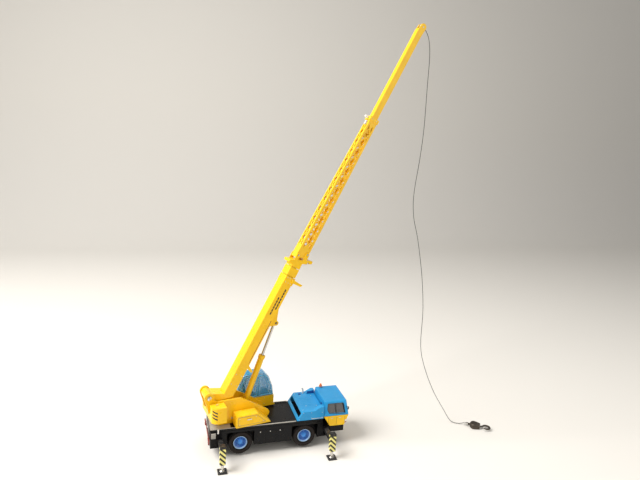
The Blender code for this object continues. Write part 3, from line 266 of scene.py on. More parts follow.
def box_directions(steps: int) -> tuple[Array, Array]:
    """Directions over a sphere, with the corner of a box that each belongs to.

    Elevation and azimuth run through each quarter turn separately, so a quarter's ends appear twice, once for each
    corner, and the faces between two corners become the box's flat sides.
    """
    quarter = np.linspace(0, np.pi / 2, steps + 1)
    elevation = np.hstack((-quarter[::-1], quarter))
    azimuth = (quarter[None] + np.arange(4)[:, None] * np.pi / 2).ravel()
    sign_x = np.repeat((1, -1, -1, 1), steps + 1)
    sign_y = np.repeat((1, 1, -1, -1), steps + 1)
    sign_z = np.repeat((-1, 1), steps + 1)
    cos_e, sin_e = np.cos(elevation)[:, None], np.sin(elevation)[:, None]
    ones = np.ones((len(elevation), len(azimuth)))
    sphere = np.stack((cos_e * np.cos(azimuth), cos_e * np.sin(azimuth), sin_e * ones), axis=-1)
    corner = np.stack((sign_x * ones, sign_y * ones, sign_z[:, None] * ones), axis=-1)
    pole = np.zeros((1, len(azimuth), 3))
    low, high = pole - (0, 0, 1), pole + (0, 0, 1)
    return np.concatenate((low, sphere, high)), np.concatenate((low, corner, high))


def rounded_points(lows: Array, highs: Array, radius: float, steps: int = 2) -> Array:
    """Grids of points over boxes with rounded edges: corner * (half size - radius) + radius * direction."""
    lows, highs = np.atleast_2d(lows).astype(float), np.atleast_2d(highs).astype(float)
    direction, corner = box_directions(steps)
    centre, half = ((lows + highs) / 2)[:, None, None], (np.abs(highs - lows) / 2)[:, None, None]
    reach = np.minimum(radius, half.min(axis=-1, keepdims=True))
    return centre + corner * (half - reach) + reach * direction


def boxes(axes: Axes, lows: Array, highs: Array, radius: float, steps: int = 2) -> Shell:
    """Boxes with rounded edges between the given corners."""
    return grid_shell(axes.world(rounded_points(lows, highs, radius, steps)))


def rounded_outline(corners: list[tuple[float, float]], radius: float, steps: int = 5) -> Array:
    """A closed outline with each corner C rounded from A to B by (1-t)^2 A + 2t(1-t) C + t^2 B."""
    corner = np.asarray(corners, float)
    before, after = np.roll(corner, 1, 0) - corner, np.roll(corner, -1, 0) - corner
    reach = np.minimum(radius, 0.45 * np.minimum(np.linalg.norm(before, axis=1), np.linalg.norm(after, axis=1)))
    start, end = corner + unit(before) * reach[:, None], corner + unit(after) * reach[:, None]
    t = np.linspace(0, 1, steps)[None, :, None]
    curve = (1 - t) ** 2 * start[:, None] + 2 * t * (1 - t) * corner[:, None] + t ** 2 * end[:, None]
    return curve.reshape(-1, 2)


def prism(axes: Axes, outline: Array, low: float, high: float, bevel: float = 0.0) -> Shell:
    """A flat outline of (along, side) pairs raised along the axes' up, with its rims bevelled.

    Its rings are the outline drawn in by the bevel, the full outline twice and the drawn-in outline, and each end
    closes on the outline's middle. The outline is one that its middle can see all of.
    """
    outline = np.asarray(outline, float)
    middle = outline.mean(0)
    inset = outline - unit(outline - middle) * bevel
    point = np.broadcast_to(middle, outline.shape)
    rings = ((point, low), (inset, low), (outline, low + bevel), (outline, high - bevel), (inset, high),
             (point, high))
    points = np.stack([np.column_stack((ring, np.full(len(ring), height))) for ring, height in rings])
    return grid_shell(axes.world(points))


def studs(axes: Axes, centres: Array, radius: float, height: float, sides: int = 6) -> Shell:
    """Bolt or rivet heads at several centres, standing along the axes' up with a bevelled top."""
    centres = np.atleast_2d(centres).astype(float)
    ring_radius = np.array((0, 1, 1, 0.78, 0)) * radius
    ring_height = np.array((-0.3, -0.3, 0.7, 1, 1)) * height
    angle = np.linspace(0, 2 * np.pi, sides, endpoint=False)
    radii, heights = ring_radius[:, None], ring_height[:, None]
    ring = np.stack(np.broadcast_arrays(radii * np.cos(angle), radii * np.sin(angle), heights), axis=-1)
    return grid_shell(axes.world(centres[:, None, None] + ring))


def arc(centre: tuple[float, float], radius: float, start: float, end: float, count: int = 12) -> Array:
    """Points of a circular arc, angles in degrees."""
    angle = np.radians(np.linspace(start, end, count))
    return np.asarray(centre) + radius * np.column_stack((np.cos(angle), np.sin(angle)))


def circle(radius: float, count: int, start: float = 0.0) -> Array:
    """Places spaced evenly round a circle across the up direction."""
    angle = np.linspace(0, 2 * np.pi, count, endpoint=False) + start
    return rows(radius * np.cos(angle), radius * np.sin(angle), 0)


def symmetric(outer: list[tuple[float, float]], middle: Array | None = None) -> Array:
    """A turned profile that is the same both ways: the outer end mirrored, the middle, and the outer end."""
    outer = np.array(outer, float)
    return np.vstack([part for part in (outer * (-1, 1), middle, outer[::-1]) if part is not None])


def smooth_path(route: Array, count: int) -> Array:
    """Evenly spaced points on the Catmull-Rom curve through a route's points."""
    route = np.asarray(route, float)
    padded = np.vstack((2 * route[0] - route[1], route, 2 * route[-1] - route[-2]))
    a, b, c, d = (padded[i:len(padded) - 3 + i, None] for i in range(4))
    t = (np.arange(24) / 24)[None, :, None]
    fine = 0.5 * (2 * b + (c - a) * t + (2 * a - 5 * b + 4 * c - d) * t ** 2 + (3 * b - a - 3 * c + d) * t ** 3)
    fine = np.vstack((fine.reshape(-1, 3), route[-1]))
    travelled = np.hstack((0, np.cumsum(np.linalg.norm(np.diff(fine, axis=0), axis=1))))
    wanted = np.linspace(0, travelled[-1], count)
    return np.column_stack([np.interp(wanted, travelled, fine[:, k]) for k in range(3)])


def bead(axes: Axes, corners: Array, rounding: float, lift: float, radius: float, columns: int = 8) -> Shell:
    """A closed round bead along an outline with rounded corners, lifted off the axes' plane."""
    ring = rounded_outline(corners, rounding)
    return swept(axes.world(rows(*ring.T, lift)), radius, axes.up, columns, closed=True)


def rod(axes: Axes, start: Array, end: Array, radius: float, columns: int = 6, count: int = 4) -> Shell:
    """A straight round rod between two places."""
    return swept(np.linspace(*axes.world((start, end)), count), radius, axes.up, columns)


# ---- finishes ----------------------------------------------------------------------------------------------

class Nodes:
    """A material's node tree and the shorthand that builds it."""

    def __init__(self, name: str) -> None:
        """Start a material with its Principled shader."""
        self.material = bpy.data.materials.new(name)
        self.material.use_nodes = True
        self.tree = self.material.node_tree
        self.shader = self.tree.nodes["Principled BSDF"]
        self.place = self.add("TexCoord").outputs["Object"]
        self.normal = self.add("NewGeometry").outputs["Normal"]

    def add(self, kind: str, inputs: dict | None = None, **settings: object) -> bpy.types.Node:
        """Add a node.

        Args:
            kind: the node's type without its ShaderNode prefix.
            inputs: values or sockets by input name or number.
            settings: the node's own properties.

        Returns:
            The node.
        """
        node = self.tree.nodes.new("ShaderNode" + kind)
        for name, value in settings.items():
            setattr(node, name, value)
        for key, value in (inputs or {}).items():
            self.feed(node.inputs[key], value)
        return node

    def feed(self, socket: bpy.types.NodeSocket, value: object) -> None:
        """Set a socket to a value, or link it to another socket."""
        if isinstance(value, bpy.types.NodeSocket):
            self.tree.links.new(value, socket)
        else:
            socket.default_value = value

    def give(self, inputs: dict[str, object]) -> None:
        """Set or link several of the shader's own inputs."""
        for name, value in inputs.items():
            self.feed(self.shader.inputs[name], value)

    def gloss(self, pattern: object, low: float, high: float) -> None:
        """Let the roughness run from low to high with a pattern."""
        spread = self.add("MapRange", {"Value": pattern, "To Min": low, "To Max": high})
        self.give({"Roughness": spread.outputs[0]})

    def mottled(self, colour: Colour, scale: float, dark: float, light: float) -> bpy.types.NodeSocket:
        """A colour that drifts between a darker and a lighter shade of itself."""
        return self.mix(self.band(self.noise(scale, 4), 0.3, 0.7), shade(colour, dark), shade(colour, light))

    def noise(self, scale: float, detail: float = 3.0, stretch: Colour = (1.0, 1.0, 1.0)) -> bpy.types.NodeSocket:
        """Noise over the piece's own place, in features per metre."""
        mapping = self.add("Mapping", {"Vector": self.place, "Scale": stretch})
        return self.add("TexNoise", {"Vector": mapping.outputs[0], "Scale": scale, "Detail": detail}).outputs[0]

    def math(self, operation: str, first: object, second: object = 0.0) -> bpy.types.NodeSocket:
        """One sum on two numbers."""
        return self.add("Math", {0: first, 1: second}, operation=operation).outputs[0]

    def band(self, value: object, low: float, high: float) -> bpy.types.NodeSocket:
        """0 below low, 1 above high and a straight rise between them."""
        return self.add("MapRange", {"Value": value, "From Min": low, "From Max": high}, clamp=True).outputs[0]

    def mix(self, share: object, first: object, second: object) -> bpy.types.NodeSocket:
        """A colour between two colours."""
        solid = [(*c, 1.0) if isinstance(c, tuple) else c for c in (first, second)]
        node = self.add("Mix", {0: share, 6: solid[0], 7: solid[1]}, data_type="RGBA")
        return node.outputs[2]

    def bump(self, height: object, strength: float, distance: float) -> None:
        """Raise the surface by a height, on top of any bump so far."""
        inputs = {"Height": height, "Strength": strength, "Distance": distance}
        normal = self.shader.inputs["Normal"]
        if normal.is_linked:
            inputs["Normal"] = normal.links[0].from_socket
        self.feed(normal, self.add("Bump", inputs).outputs[0])

    def edges(self, width: float) -> bpy.types.NodeSocket:
        """About 1 on outer and inner edges and 0 on open faces, from how far a rounded normal leans away."""
        rounded = self.add("Bevel", {"Radius": width}, samples=4).outputs[0]
        agree = self.add("VectorMath", {0: rounded, 1: self.normal}, operation="DOT_PRODUCT").outputs["Value"]
        return self.band(self.math("SUBTRACT", 1.0, agree), 0.03, 0.25)

    def dust(self, colour: object, tint: Colour, amount: float) -> bpy.types.NodeSocket:
        """A colour with fine dust on what faces up."""
        facing = self.add("SeparateXYZ", {0: self.normal}).outputs["Z"]
        lying = self.math("MULTIPLY", self.band(facing, 0.35, 1.0), self.band(self.noise(420, 6), 0.42, 0.75))
        return self.mix(self.math("MULTIPLY", lying, amount), colour, tint)


def shade(colour: Colour, factor: float) -> Colour:
    """A colour made lighter or darker."""
    return tuple(min(1.0, c * factor) for c in colour)


@dataclass(frozen=True)
class Finish:
    """What every finish has: a name, the record's slot that it belongs to and its main colour."""

    name: str
    slot: str
    colour: Colour

    def material(self) -> bpy.types.Material:
        """The finish's material, built once."""
        found = bpy.data.materials.get(self.name)
        if found is None:
            nodes = Nodes(self.name)
            self.build(nodes)
            found = nodes.material
        return found

    def build(self, nodes: Nodes) -> None:
        """Build the node tree."""
        nodes.feed(nodes.shader.inputs["Base Color"], (*self.colour, 1.0))


@dataclass(frozen=True)
class Paint(Finish):
    """Sprayed enamel on a casting: orange peel, faint mottling, rubbed edges and dust."""

    roughness: float = 0.32
    coat: float = 0.12
    specular: float = 0.32
    wear: float = 0.35
    wear_colour: Colour = (0.62, 0.60, 0.56)
    dust_amount: float = 0.10
    dust_colour: Colour = (0.72, 0.70, 0.66)

    def base(self, nodes: Nodes) -> object:
        """The paint's own colour before wear and dust."""
        return nodes.mottled(self.colour, 55, 0.93, 1.05)

    def build(self, nodes: Nodes) -> None:
        """Build the paint: mottled base, chipped edges, dust, and a fine peel in the bump."""
        chips = nodes.math("MULTIPLY", nodes.edges(0.22 * MM), nodes.band(nodes.noise(900, 5), 0.52, 0.66))
        colour = nodes.mix(nodes.math("MULTIPLY", chips, self.wear), self.base(nodes), self.wear_colour)
        nodes.give({"Base Color": nodes.dust(colour, self.dust_colour, self.dust_amount), "Coat Weight": self.coat,
                    "Specular IOR Level": self.specular})
        nodes.gloss(nodes.band(nodes.noise(130, 5), 0.3, 0.75), self.roughness - 0.06, self.roughness + 0.10)
        nodes.bump(nodes.noise(1400, 2), 0.10, 0.03 * MM)
        nodes.bump(nodes.noise(260, 3), 0.06, 0.08 * MM)


@dataclass(frozen=True)
class StripedPaint(Paint):
    """Paint with slanted warning stripes on the jack casing, black on its beam and black above a set height.

    The stripe number at a point is (z + x + y) / period, and its fraction says which colour the point has.
    """

    stripe: Colour = (0.012, 0.012, 0.013)
    period: float = 5.6 * MM
    beam_reach: float = 46.4 * MM
    black_top_height: float = 28.2 * MM

    def base(self, nodes: Nodes) -> object:
        """Stripes by height and place, black inside the beam's reach and above a set height."""
        place = nodes.add("SeparateXYZ", {0: nodes.place}).outputs
        slanted = nodes.math("ADD", nodes.math("ADD", place["X"], place["Y"]), place["Z"])
        share = nodes.math("FRACT", nodes.math("MULTIPLY", slanted, 1 / self.period))
        striped = nodes.mix(nodes.band(nodes.math("ABSOLUTE", nodes.math("SUBTRACT", share, 0.5)), 0.26, 0.275),
                            self.colour, self.stripe)
        beam = nodes.math("LESS_THAN", nodes.math("ABSOLUTE", place["Y"]), self.beam_reach)
        # The casing is black above a set height, where its top looks dark.
        cap = nodes.math("GREATER_THAN", place["Z"], self.black_top_height)
        return nodes.mix(nodes.math("MAXIMUM", beam, cap), striped, self.stripe)


@dataclass(frozen=True)
class ChequerPaint(Paint):
    """Black deck paint over a raised diamond pattern.

    The height is the product of two waves that run at 45 degrees to the deck's edges, kept where it is high.
    """

    pitch: float = 1.7 * MM

    def build(self, nodes: Nodes) -> None:
        """Build the paint and add the diamonds to its bump."""
        super().build(nodes)
        place = nodes.add("SeparateXYZ", {0: nodes.place}).outputs
        slants = [nodes.math(how, place["X"], place["Y"]) for how in ("ADD", "SUBTRACT")]
        waves = [nodes.math("SINE", nodes.math("MULTIPLY", slant, 3.7 / self.pitch)) for slant in slants]
        diamonds = nodes.band(nodes.math("MULTIPLY", waves[0], waves[1]), 0.35, 0.6)
        nodes.bump(diamonds, 0.35, 0.10 * MM)


@dataclass(frozen=True)
class Plastic(Finish):
    """Moulded plastic: a satin skin with a fine grain."""

    roughness: float = 0.45
    grain: float = 0.10
    coat: float = 0.0
    variation: float = 0.06

    def build(self, nodes: Nodes) -> None:
        """Build the mottled colour, the broken gloss and the grain."""
        colour = nodes.mottled(self.colour, 90, 1 - self.variation, 1 + self.variation)
        rubbed = nodes.math("MULTIPLY", nodes.edges(0.18 * MM), 0.30)
        colour = nodes.mix(rubbed, colour, shade(tuple(c + 0.04 for c in self.colour), 1.35))
        nodes.give({"Base Color": nodes.dust(colour, (0.70, 0.69, 0.66), 0.08), "Coat Weight": self.coat})
        nodes.gloss(nodes.noise(240, 4), self.roughness - 0.08, self.roughness + 0.10)
        nodes.bump(nodes.noise(2200, 2), self.grain, 0.03 * MM)


@dataclass(frozen=True)
class ClearPlastic(Finish):
    """Tinted clear plastic: part see-through, with faint flow lines."""

    roughness: float = 0.10
    transmission: float = 0.0
    alpha: float = 0.62

    def build(self, nodes: Nodes) -> None:
        """Build the tint, deeper and paler in long streaks, and the shallow flow lines."""
        streaks = nodes.noise(30, 3, (1.0, 1.0, 0.35))
        tint = nodes.mix(nodes.band(streaks, 0.35, 0.65), shade(self.colour, 0.88), shade(self.colour, 1.15))
        nodes.give({"Base Color": tint, "Transmission Weight": self.transmission, "IOR": 1.46, "Alpha": self.alpha,
                    "Coat Weight": 0.5})
        nodes.gloss(nodes.noise(300, 5), self.roughness, self.roughness + 0.08)
        nodes.bump(nodes.noise(60, 1), 0.015, 0.05 * MM)


@dataclass(frozen=True)
class Metal(Finish):
    """Bare metal: drawn or turned marks, dull patches and darker grime in its noise."""

    roughness: float = 0.28
    metallic: float = 1.0
    grime: float = 0.25
    marks: float = 0.12

    def build(self, nodes: Nodes) -> None:
        """Build the worn colour, patchy gloss and fine marks."""
        patches = nodes.band(nodes.noise(320, 6), 0.45, 0.7)
        colour = nodes.mix(nodes.math("MULTIPLY", patches, self.grime), self.colour, shade(self.colour, 0.45))
        nodes.give({"Base Color": colour, "Metallic": self.metallic})
        nodes.gloss(nodes.noise(500, 5), self.roughness - 0.08, self.roughness + 0.16)
        nodes.bump(nodes.noise(2600, 2, (1.0, 1.0, 0.2)), self.marks, 0.02 * MM)


@dataclass(frozen=True)
class Rubber(Finish):
    """Tyre rubber: dull, brown-black, with dust in its pores."""

    roughness: float = 0.72
    specular: float = 0.2

    def build(self, nodes: Nodes) -> None:
        """Build the dusty brown-black and its pores."""
        dusty = nodes.mix(nodes.math("MULTIPLY", nodes.band(nodes.noise(240, 6), 0.45, 0.75), 0.30), self.colour,
                          (0.045, 0.036, 0.030))
        rubbed = nodes.mix(nodes.math("MULTIPLY", nodes.edges(0.15 * MM), 0.35), dusty, (0.05, 0.042, 0.036))
        nodes.give({"Base Color": nodes.dust(rubbed, (0.35, 0.31, 0.27), 0.03),
                    "Specular IOR Level": self.specular})
        nodes.gloss(nodes.noise(700, 4), self.roughness - 0.1, self.roughness + 0.12)
        nodes.bump(nodes.noise(3000, 3), 0.18, 0.03 * MM)


@dataclass(frozen=True)
class Thread(Finish):
    """Twisted thread: slanted strands from a wave along the cord's own length."""

    twist: float = 900.0

    def build(self, nodes: Nodes) -> None:
        """Build the strands: a saw of height over place along and around the cord, with painted shade in the grooves
        and a painted highlight on the crowns.
        """
        wave = nodes.add("TexWave", {"Vector": nodes.place, "Scale": self.twist, "Distortion": 0.6},
                         bands_direction="DIAGONAL").outputs[1]
        # Painted shade and highlight: the colour follows the strands' relief, darker in the grooves and lighter on
        # the crowns.
        strands = nodes.mix(wave, shade(self.colour, 0.6), shade(self.colour, 1.8))
        nodes.give({"Base Color": strands, "Roughness": 0.8, "Sheen Weight": 0.2})
        nodes.bump(wave, 0.5, 0.05 * MM)


YELLOW = Paint("yellow_enamel", "yellow_paint", (0.95, 0.56, 0.004), roughness=0.30)
JIB_YELLOW = Plastic("jib_yellow_plastic", "yellow_plastic", (0.93, 0.55, 0.008), roughness=0.40, coat=0.10)
BLUE = Paint("sky_blue_enamel", "sky_blue_paint", (0.016, 0.30, 0.64), roughness=0.36, wear=0.16, dust_amount=0.04)
# DARK_BLUE is the filler cap's own colour, and also the painted shade on the hood's shade patches.
DARK_BLUE = Plastic("dark_blue_moulding", "sky_blue_paint", (0.010, 0.075, 0.30), roughness=0.40, coat=0.2)
BLACK = Paint("black_enamel", "gloss_black_paint", (0.005, 0.005, 0.006), roughness=0.30, coat=0.05,
              specular=0.14, wear=0.25, wear_colour=(0.10, 0.10, 0.10), dust_amount=0.006)
DECK = ChequerPaint("black_deck_enamel", "gloss_black_paint", (0.005, 0.005, 0.006), roughness=0.30, coat=0.05,
                    specular=0.16, wear=0.2, wear_colour=(0.10, 0.10, 0.10), dust_amount=0.004)
JACK_PAINT = StripedPaint("striped_jack_enamel", "jack_cream_paint", (0.80, 0.74, 0.25), roughness=0.42, wear=0.3)
GLAZING = Plastic("smoked_glazing", "black_glazing", (0.010, 0.012, 0.013), roughness=0.10, grain=0.01, coat=1.0)
BLUE_CLEAR = ClearPlastic("clear_blue_plastic", "blue_clear_plastic", (0.035, 0.36, 0.66), alpha=0.46)
BLUE_RIB = Plastic("pale_blue_rib", "blue_clear_plastic", (0.10, 0.48, 0.76), roughness=0.25, coat=0.4)
TYRE = Rubber("tyre_rubber_worn", "tyre_rubber", (0.016, 0.012, 0.011))
RIM_RING = Metal("silvered_rim", "rim_blue_plastic", (0.42, 0.62, 0.86), roughness=0.30, metallic=0.35, grime=0.1)
RIM_DISH = Plastic("rim_deep_blue", "rim_blue_plastic", (0.020, 0.13, 0.46), roughness=0.34, coat=0.2)
RIM_HUB = Plastic("rim_hub_blue", "rim_blue_plastic", (0.045, 0.27, 0.74), roughness=0.30, coat=0.3)
STEEL = Metal("bright_steel_worn", "bright_steel", (0.66, 0.65, 0.62))
CHROME = Metal("chromed_rod", "bright_steel", (0.62, 0.60, 0.56), roughness=0.16, grime=0.12, marks=0.05)
DARK_STEEL = Metal("darkened_steel", "bright_steel", (0.20, 0.19, 0.185), roughness=0.40, grime=0.4)
GREY = Plastic("grey_moulding", "grey_plastic", (0.36, 0.35, 0.32), roughness=0.55, grain=0.18)
PALE_GREY = Plastic("pale_grey_moulding", "grey_plastic", (0.55, 0.57, 0.56), roughness=0.50, grain=0.12)
SEAT_GREY = Plastic("dark_seat_moulding", "grey_plastic", (0.055, 0.06, 0.065), roughness=0.62, grain=0.3)
BLACK_PLASTIC = Plastic("black_trim", "black_glazing", (0.014, 0.014, 0.015), roughness=0.45)
AMBER = ClearPlastic("amber_beacon_lens", "amber_lens", (0.90, 0.20, 0.05), alpha=0.95, transmission=0.2)
RED_LENS = ClearPlastic("red_tail_lens", "red_lens", (0.30, 0.035, 0.03), alpha=0.97, transmission=0.1)
PALE_METAL = Metal("pale_plated_metal", "bright_steel", (0.80, 0.79, 0.76), roughness=0.35, metallic=0.25,
                   grime=0.1)
CLEAR_LENS = ClearPlastic("clear_headlamp_lens", "clear_lens", (0.80, 0.80, 0.76), alpha=0.9, transmission=0.5)
WHITE = Plastic("white_peg_moulding", "white_plastic", (0.82, 0.81, 0.77), roughness=0.40)
THREAD = Thread("black_twisted_thread", "black_thread", (0.022, 0.021, 0.020))
CAST = Metal("dark_cast_bronze", "dark_cast_metal", (0.085, 0.070, 0.055), roughness=0.42, metallic=0.75,
             grime=0.5, marks=0.3)
DECAL = Plastic("black_mark", "yellow_paint", (0.016, 0.012, 0.010), roughness=0.40, grain=0.04)
RED_MARK = Plastic("red_brown_mark", "yellow_paint", (0.30, 0.055, 0.02), roughness=0.40, grain=0.04)


# ---- pieces ------------------------------------------------------------------------------------------------

def make_piece(name: str, shells: list[Shell] | Shell, finish: Finish, body: str, replaces: tuple[str, ...] = (),
               sharp: float = 38.0) -> bpy.types.Object:
    """Turn shells into one finished piece that rides on a body.

    Args:
        name: the piece's name.
        shells: one shell or several.
        finish: what it is painted or moulded in.
        body: the CAD body it moves with.
        replaces: CAD nodes that it stands for.
        sharp: edges that turn by more than this many degrees stay crisp.

    Returns:
        The piece, its place in its mesh.
    """
    shells = [shells] if isinstance(shells, Shell) else shells
    counts = np.cumsum([0] + [len(shell.points) for shell in shells])
    points = np.concatenate([shell.points for shell in shells])
    faces = np.concatenate([shell.faces + start for shell, start in zip(shells, counts)])
    mesh = bpy.data.meshes.new(name)
    mesh.vertices.add(len(points))
    mesh.vertices.foreach_set("co", points.ravel())
    mesh.loops.add(faces.size)
    mesh.loops.foreach_set("vertex_index", faces.ravel())
    mesh.polygons.add(len(faces))
    mesh.polygons.foreach_set("loop_start", np.arange(0, faces.size, 4))
    mesh.update(calc_edges=True)
    shape = bmesh.new()
    shape.from_mesh(mesh)
    bmesh.ops.remove_doubles(shape, verts=shape.verts, dist=WELD)
    bmesh.ops.dissolve_degenerate(shape, edges=shape.edges, dist=WELD / 10)
    bmesh.ops.recalc_face_normals(shape, faces=shape.faces)
    shape.to_mesh(mesh)
    shape.free()
    mesh.shade_smooth()
    mesh.set_sharp_from_angle(angle=np.radians(sharp))
    mesh.materials.append(finish.material())
    piece = bpy.data.objects.new(name, mesh)
    bpy.context.scene.collection.objects.link(piece)
    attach(piece, body)
    if replaces:
        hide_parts(*replaces)
    LOG.info("made %s: %d faces", name, len(mesh.polygons))
    return piece


def dress(finish: Finish, *nodes: str) -> None:
    """Give CAD nodes a finish."""
    for name in nodes:
        for slot in NODES[name].material_slots:
            slot.material = finish.material()
        LOG.info("dressed %s in %s", name, finish.name)


def on_side(axes: Axes, side: Side) -> Axes:
    """Axes for work on a side face: along stays, the old up is the new side and up points out of that side."""
    return Axes(axes.origin, axes.along, axes.up, axes.side * side.value)


# ---- sub-assemblies ----------------------------------------------------------------------------------------

@dataclass
class Studio:
    """A pale plain room with soft light, and the camera."""

    camera_place: Colour = (-0.17122, -0.55248, 0.34843)
    lens: float = 29.10
    yaw: float = 17.44
    pitch: float = 10.3
    roll: float = 3.29
    room: float = 1.6
    sweep: float = 0.5

    def build(self) -> None:
        """Build the backdrop, the lights and the camera."""
        self.build_backdrop()
        self.build_lights()
        self.build_camera()

    def build_backdrop(self) -> None:
        """One surface: a floor just under the pads that rises in a quarter circle into a wall behind the crane."""
        bend = arc((self.room - self.sweep, self.sweep), self.sweep, -90, 0, 24)
        profile = np.vstack(((-self.room, 0.0), bend, (self.room, 2.4)))
        across = np.linspace(-3.0, 3.0, 3)
        points = np.stack(np.broadcast_arrays(across[None, :], profile[:, :1], profile[:, 1:] - 0.2 * MM), axis=-1)
        shell = grid_shell(points, wrap_columns=False)
        mesh = bpy.data.meshes.new("backdrop")
        mesh.from_pydata(shell.points.tolist(), [], shell.faces.tolist())
        mesh.shade_smooth()
        paper = Nodes("studio_paper")
        paper.feed(paper.shader.inputs["Base Color"], (0.80, 0.78, 0.74, 1.0))
        paper.shader.inputs["Roughness"].default_value = 0.9
        mesh.materials.append(paper.material)
        backdrop = bpy.data.objects.new("backdrop", mesh)
        bpy.context.scene.collection.objects.link(backdrop)

    def build_lights(self) -> None:
        """A large key light from the left, softer ones from the right and above, and an even pale surround."""
        world = bpy.data.worlds.new("studio_surround")
        world.use_nodes = True
        world.node_tree.nodes["Background"].inputs["Color"].default_value = (1.0, 0.985, 0.96, 1.0)
        world.node_tree.nodes["Background"].inputs["Strength"].default_value = 0.30
        bpy.context.scene.world = world
        for name, place, size, power in (("key_light", (-0.95, -0.12, 1.10), 0.8, 27.0),
                                         ("fill_light", (0.7, -0.9, 0.7), 1.0, 4.5),
                                         ("top_light", (0.1, 0.1, 1.5), 0.8, 5.0)):
            lamp = bpy.data.lights.new(name, "AREA")
            lamp.size = size
            lamp.energy = power
            lamp.color = (1.0, 0.97, 0.93)
            holder = bpy.data.objects.new(name, lamp)
            bpy.context.scene.collection.objects.link(holder)
            out = unit(np.array(place) - (0.0, 0.0, 0.15))
            right = unit(np.cross(UP, out))
            turn = np.eye(4)
            turn[:3] = np.column_stack((right, np.cross(out, right), out, place))
            holder.matrix_world = Matrix(turn.tolist())

    def build_camera(self) -> None:
        """A camera at its place, turned by yaw and pitch and rolled about its own view."""
        yaw, pitch, roll = np.radians((self.yaw, self.pitch, self.roll))
        forward = np.array((np.sin(yaw) * np.cos(pitch), np.cos(yaw) * np.cos(pitch), -np.sin(pitch)))
        right = np.array((np.cos(yaw), -np.sin(yaw), 0.0))
        up = np.cross(right, forward)
        rolled = (np.cos(roll) * right + np.sin(roll) * up, -np.sin(roll) * right + np.cos(roll) * up, -forward)
        data = bpy.data.cameras.new("camera")
        data.lens = self.lens
        data.dof.use_dof = False
        camera = bpy.data.objects.new("camera", data)
        turn = np.eye(4)
        turn[:3] = np.column_stack((*rolled, self.camera_place))
        camera.matrix_world = Matrix(turn.tolist())
        bpy.context.scene.collection.objects.link(camera)
        bpy.context.scene.camera = camera
        bpy.context.scene.view_settings.view_transform = "Standard"


@dataclass
class Wheelset:
    """One axle's two wheels: treaded tyres and dished rims with nuts."""

    end: End
    lugs: int = 36
    tread_depth: float = 0.45
    ring_width: float = 1.1
    nuts: int = 8
    nut_circle: float = 4.0

    def build(self) -> None:
        """Build the wheels on both sides."""
        dress(DARK_STEEL, f"{self.end.value}_axle")
        for side in Side:
            self.build_tyre(side)
            self.build_rim(side)

    def hub_axes(self, side: Side) -> Axes:
        """Axes at the hub's middle, along pointing out of the wheel."""
        hub = CARRIER.moved(*CARRIER.middle(f"{self.end.value}_tyre_{side.word}"))
        out = hub.side * side.value
        return Axes(hub.origin, out, hub.along, np.cross(out, hub.along))

    def build_tyre(self, side: Side) -> None:
        """Build a tyre whose crown drops between slanted lugs.

        The section is a flat-topped superellipse from bead to bead. The drop at angle a and section place s is the
        tread depth where the fraction of (lugs * a / 2 pi + slant * |s|) passes one half, and only on the crown.
        """
        name = f"{self.end.value}_tyre_{side.word}"
        axes = self.hub_axes(side)
        half, outer, _ = axes.half_size(name)
        bore = axes.half_size(f"{self.end.value}_rim_{side.word}")[1] + 0.05
        turn = np.radians(np.linspace(-128, 128, 45))[:, None]
        power = 2 / 3.6
        height = np.sign(np.cos(turn)) * np.abs(np.cos(turn)) ** power
        across = np.sign(np.sin(turn)) * np.abs(np.sin(turn)) ** power
        middle = (outer + bore) / 2
        angle = np.linspace(0, 2 * np.pi, self.lugs * 8, endpoint=False)[None]
        phase = (self.lugs * angle / (2 * np.pi) + 0.5 * np.sign(across) * (np.abs(across) > 0.1)
                 + 0.35 * np.abs(across)) % 1
        crown = np.clip((height - 0.72) / 0.1, 0, 1) * np.clip((np.abs(across) - 0.10) / 0.05, 0, 1)
        groove = np.clip((0.24 - np.abs(phase - 0.5)) / 0.06, 0, 1)
        radius = np.maximum(middle + (outer - middle) * height, bore) - self.tread_depth * crown * groove
        ring = turned(across * half, radius, angle)
        inside = revolved(axes, [(across[-1, 0] * half, bore), (across[0, 0] * half, bore)], self.lugs * 8)
        make_piece(f"{name}_treaded", [grid_shell(axes.world(ring)), inside], TYRE, f"{self.end.value}_wheelset",
                   (name,), sharp=32)

    def build_rim(self, side: Side) -> None:
        """Build the pale ring, the deep dish, the hub with its cap and a circle of nuts."""
        name = f"{self.end.value}_rim_{side.word}"
        body = f"{self.end.value}_wheelset"
        axes = self.hub_axes(side)
        low, high = axes.span(name)
        back, radius = low[0] - high[0], high[1]
        face = axes.moved(high[0])
        flange = radius - self.ring_width
        ring = [(-1.6, flange - 0.3), (-0.5, flange), (-0.05, flange + 0.25), (0, radius - 0.45),
                (-0.2, radius - 0.12), (-0.7, radius), (-2, radius), (-2, flange - 0.3), (-1.6, flange - 0.3)]
        dish = [(back, 0), (back, radius - 0.1), (-2.1, radius - 0.1), (-2.1, flange - 0.2), (-1.5, flange - 0.35),
                (-3.1, 4.9), (-3.2, 4.4), (-2.7, 3.5), (-2.6, 0)]
        hub = [(-2.7, 0), (-2.7, 3), (-1.7, 2.8), (-1.5, 2.5), (-1.4, 1.8), (-0.5, 1.6), (-0.2, 1.2), (-0.1, 0)]
        flat = Axes(face.world((-2.95, 0, 0)), axes.side, axes.up, axes.along)
        nuts = studs(flat, circle(self.nut_circle, self.nuts), 0.42, 0.7)
        make_piece(f"{name}_ring", revolved(face, ring, 64), RIM_RING, body, (name,))
        make_piece(f"{name}_dish", revolved(face, dish, 64), RIM_DISH, body)
        make_piece(f"{name}_hub", [revolved(face, hub, 48), nuts], RIM_HUB, body)


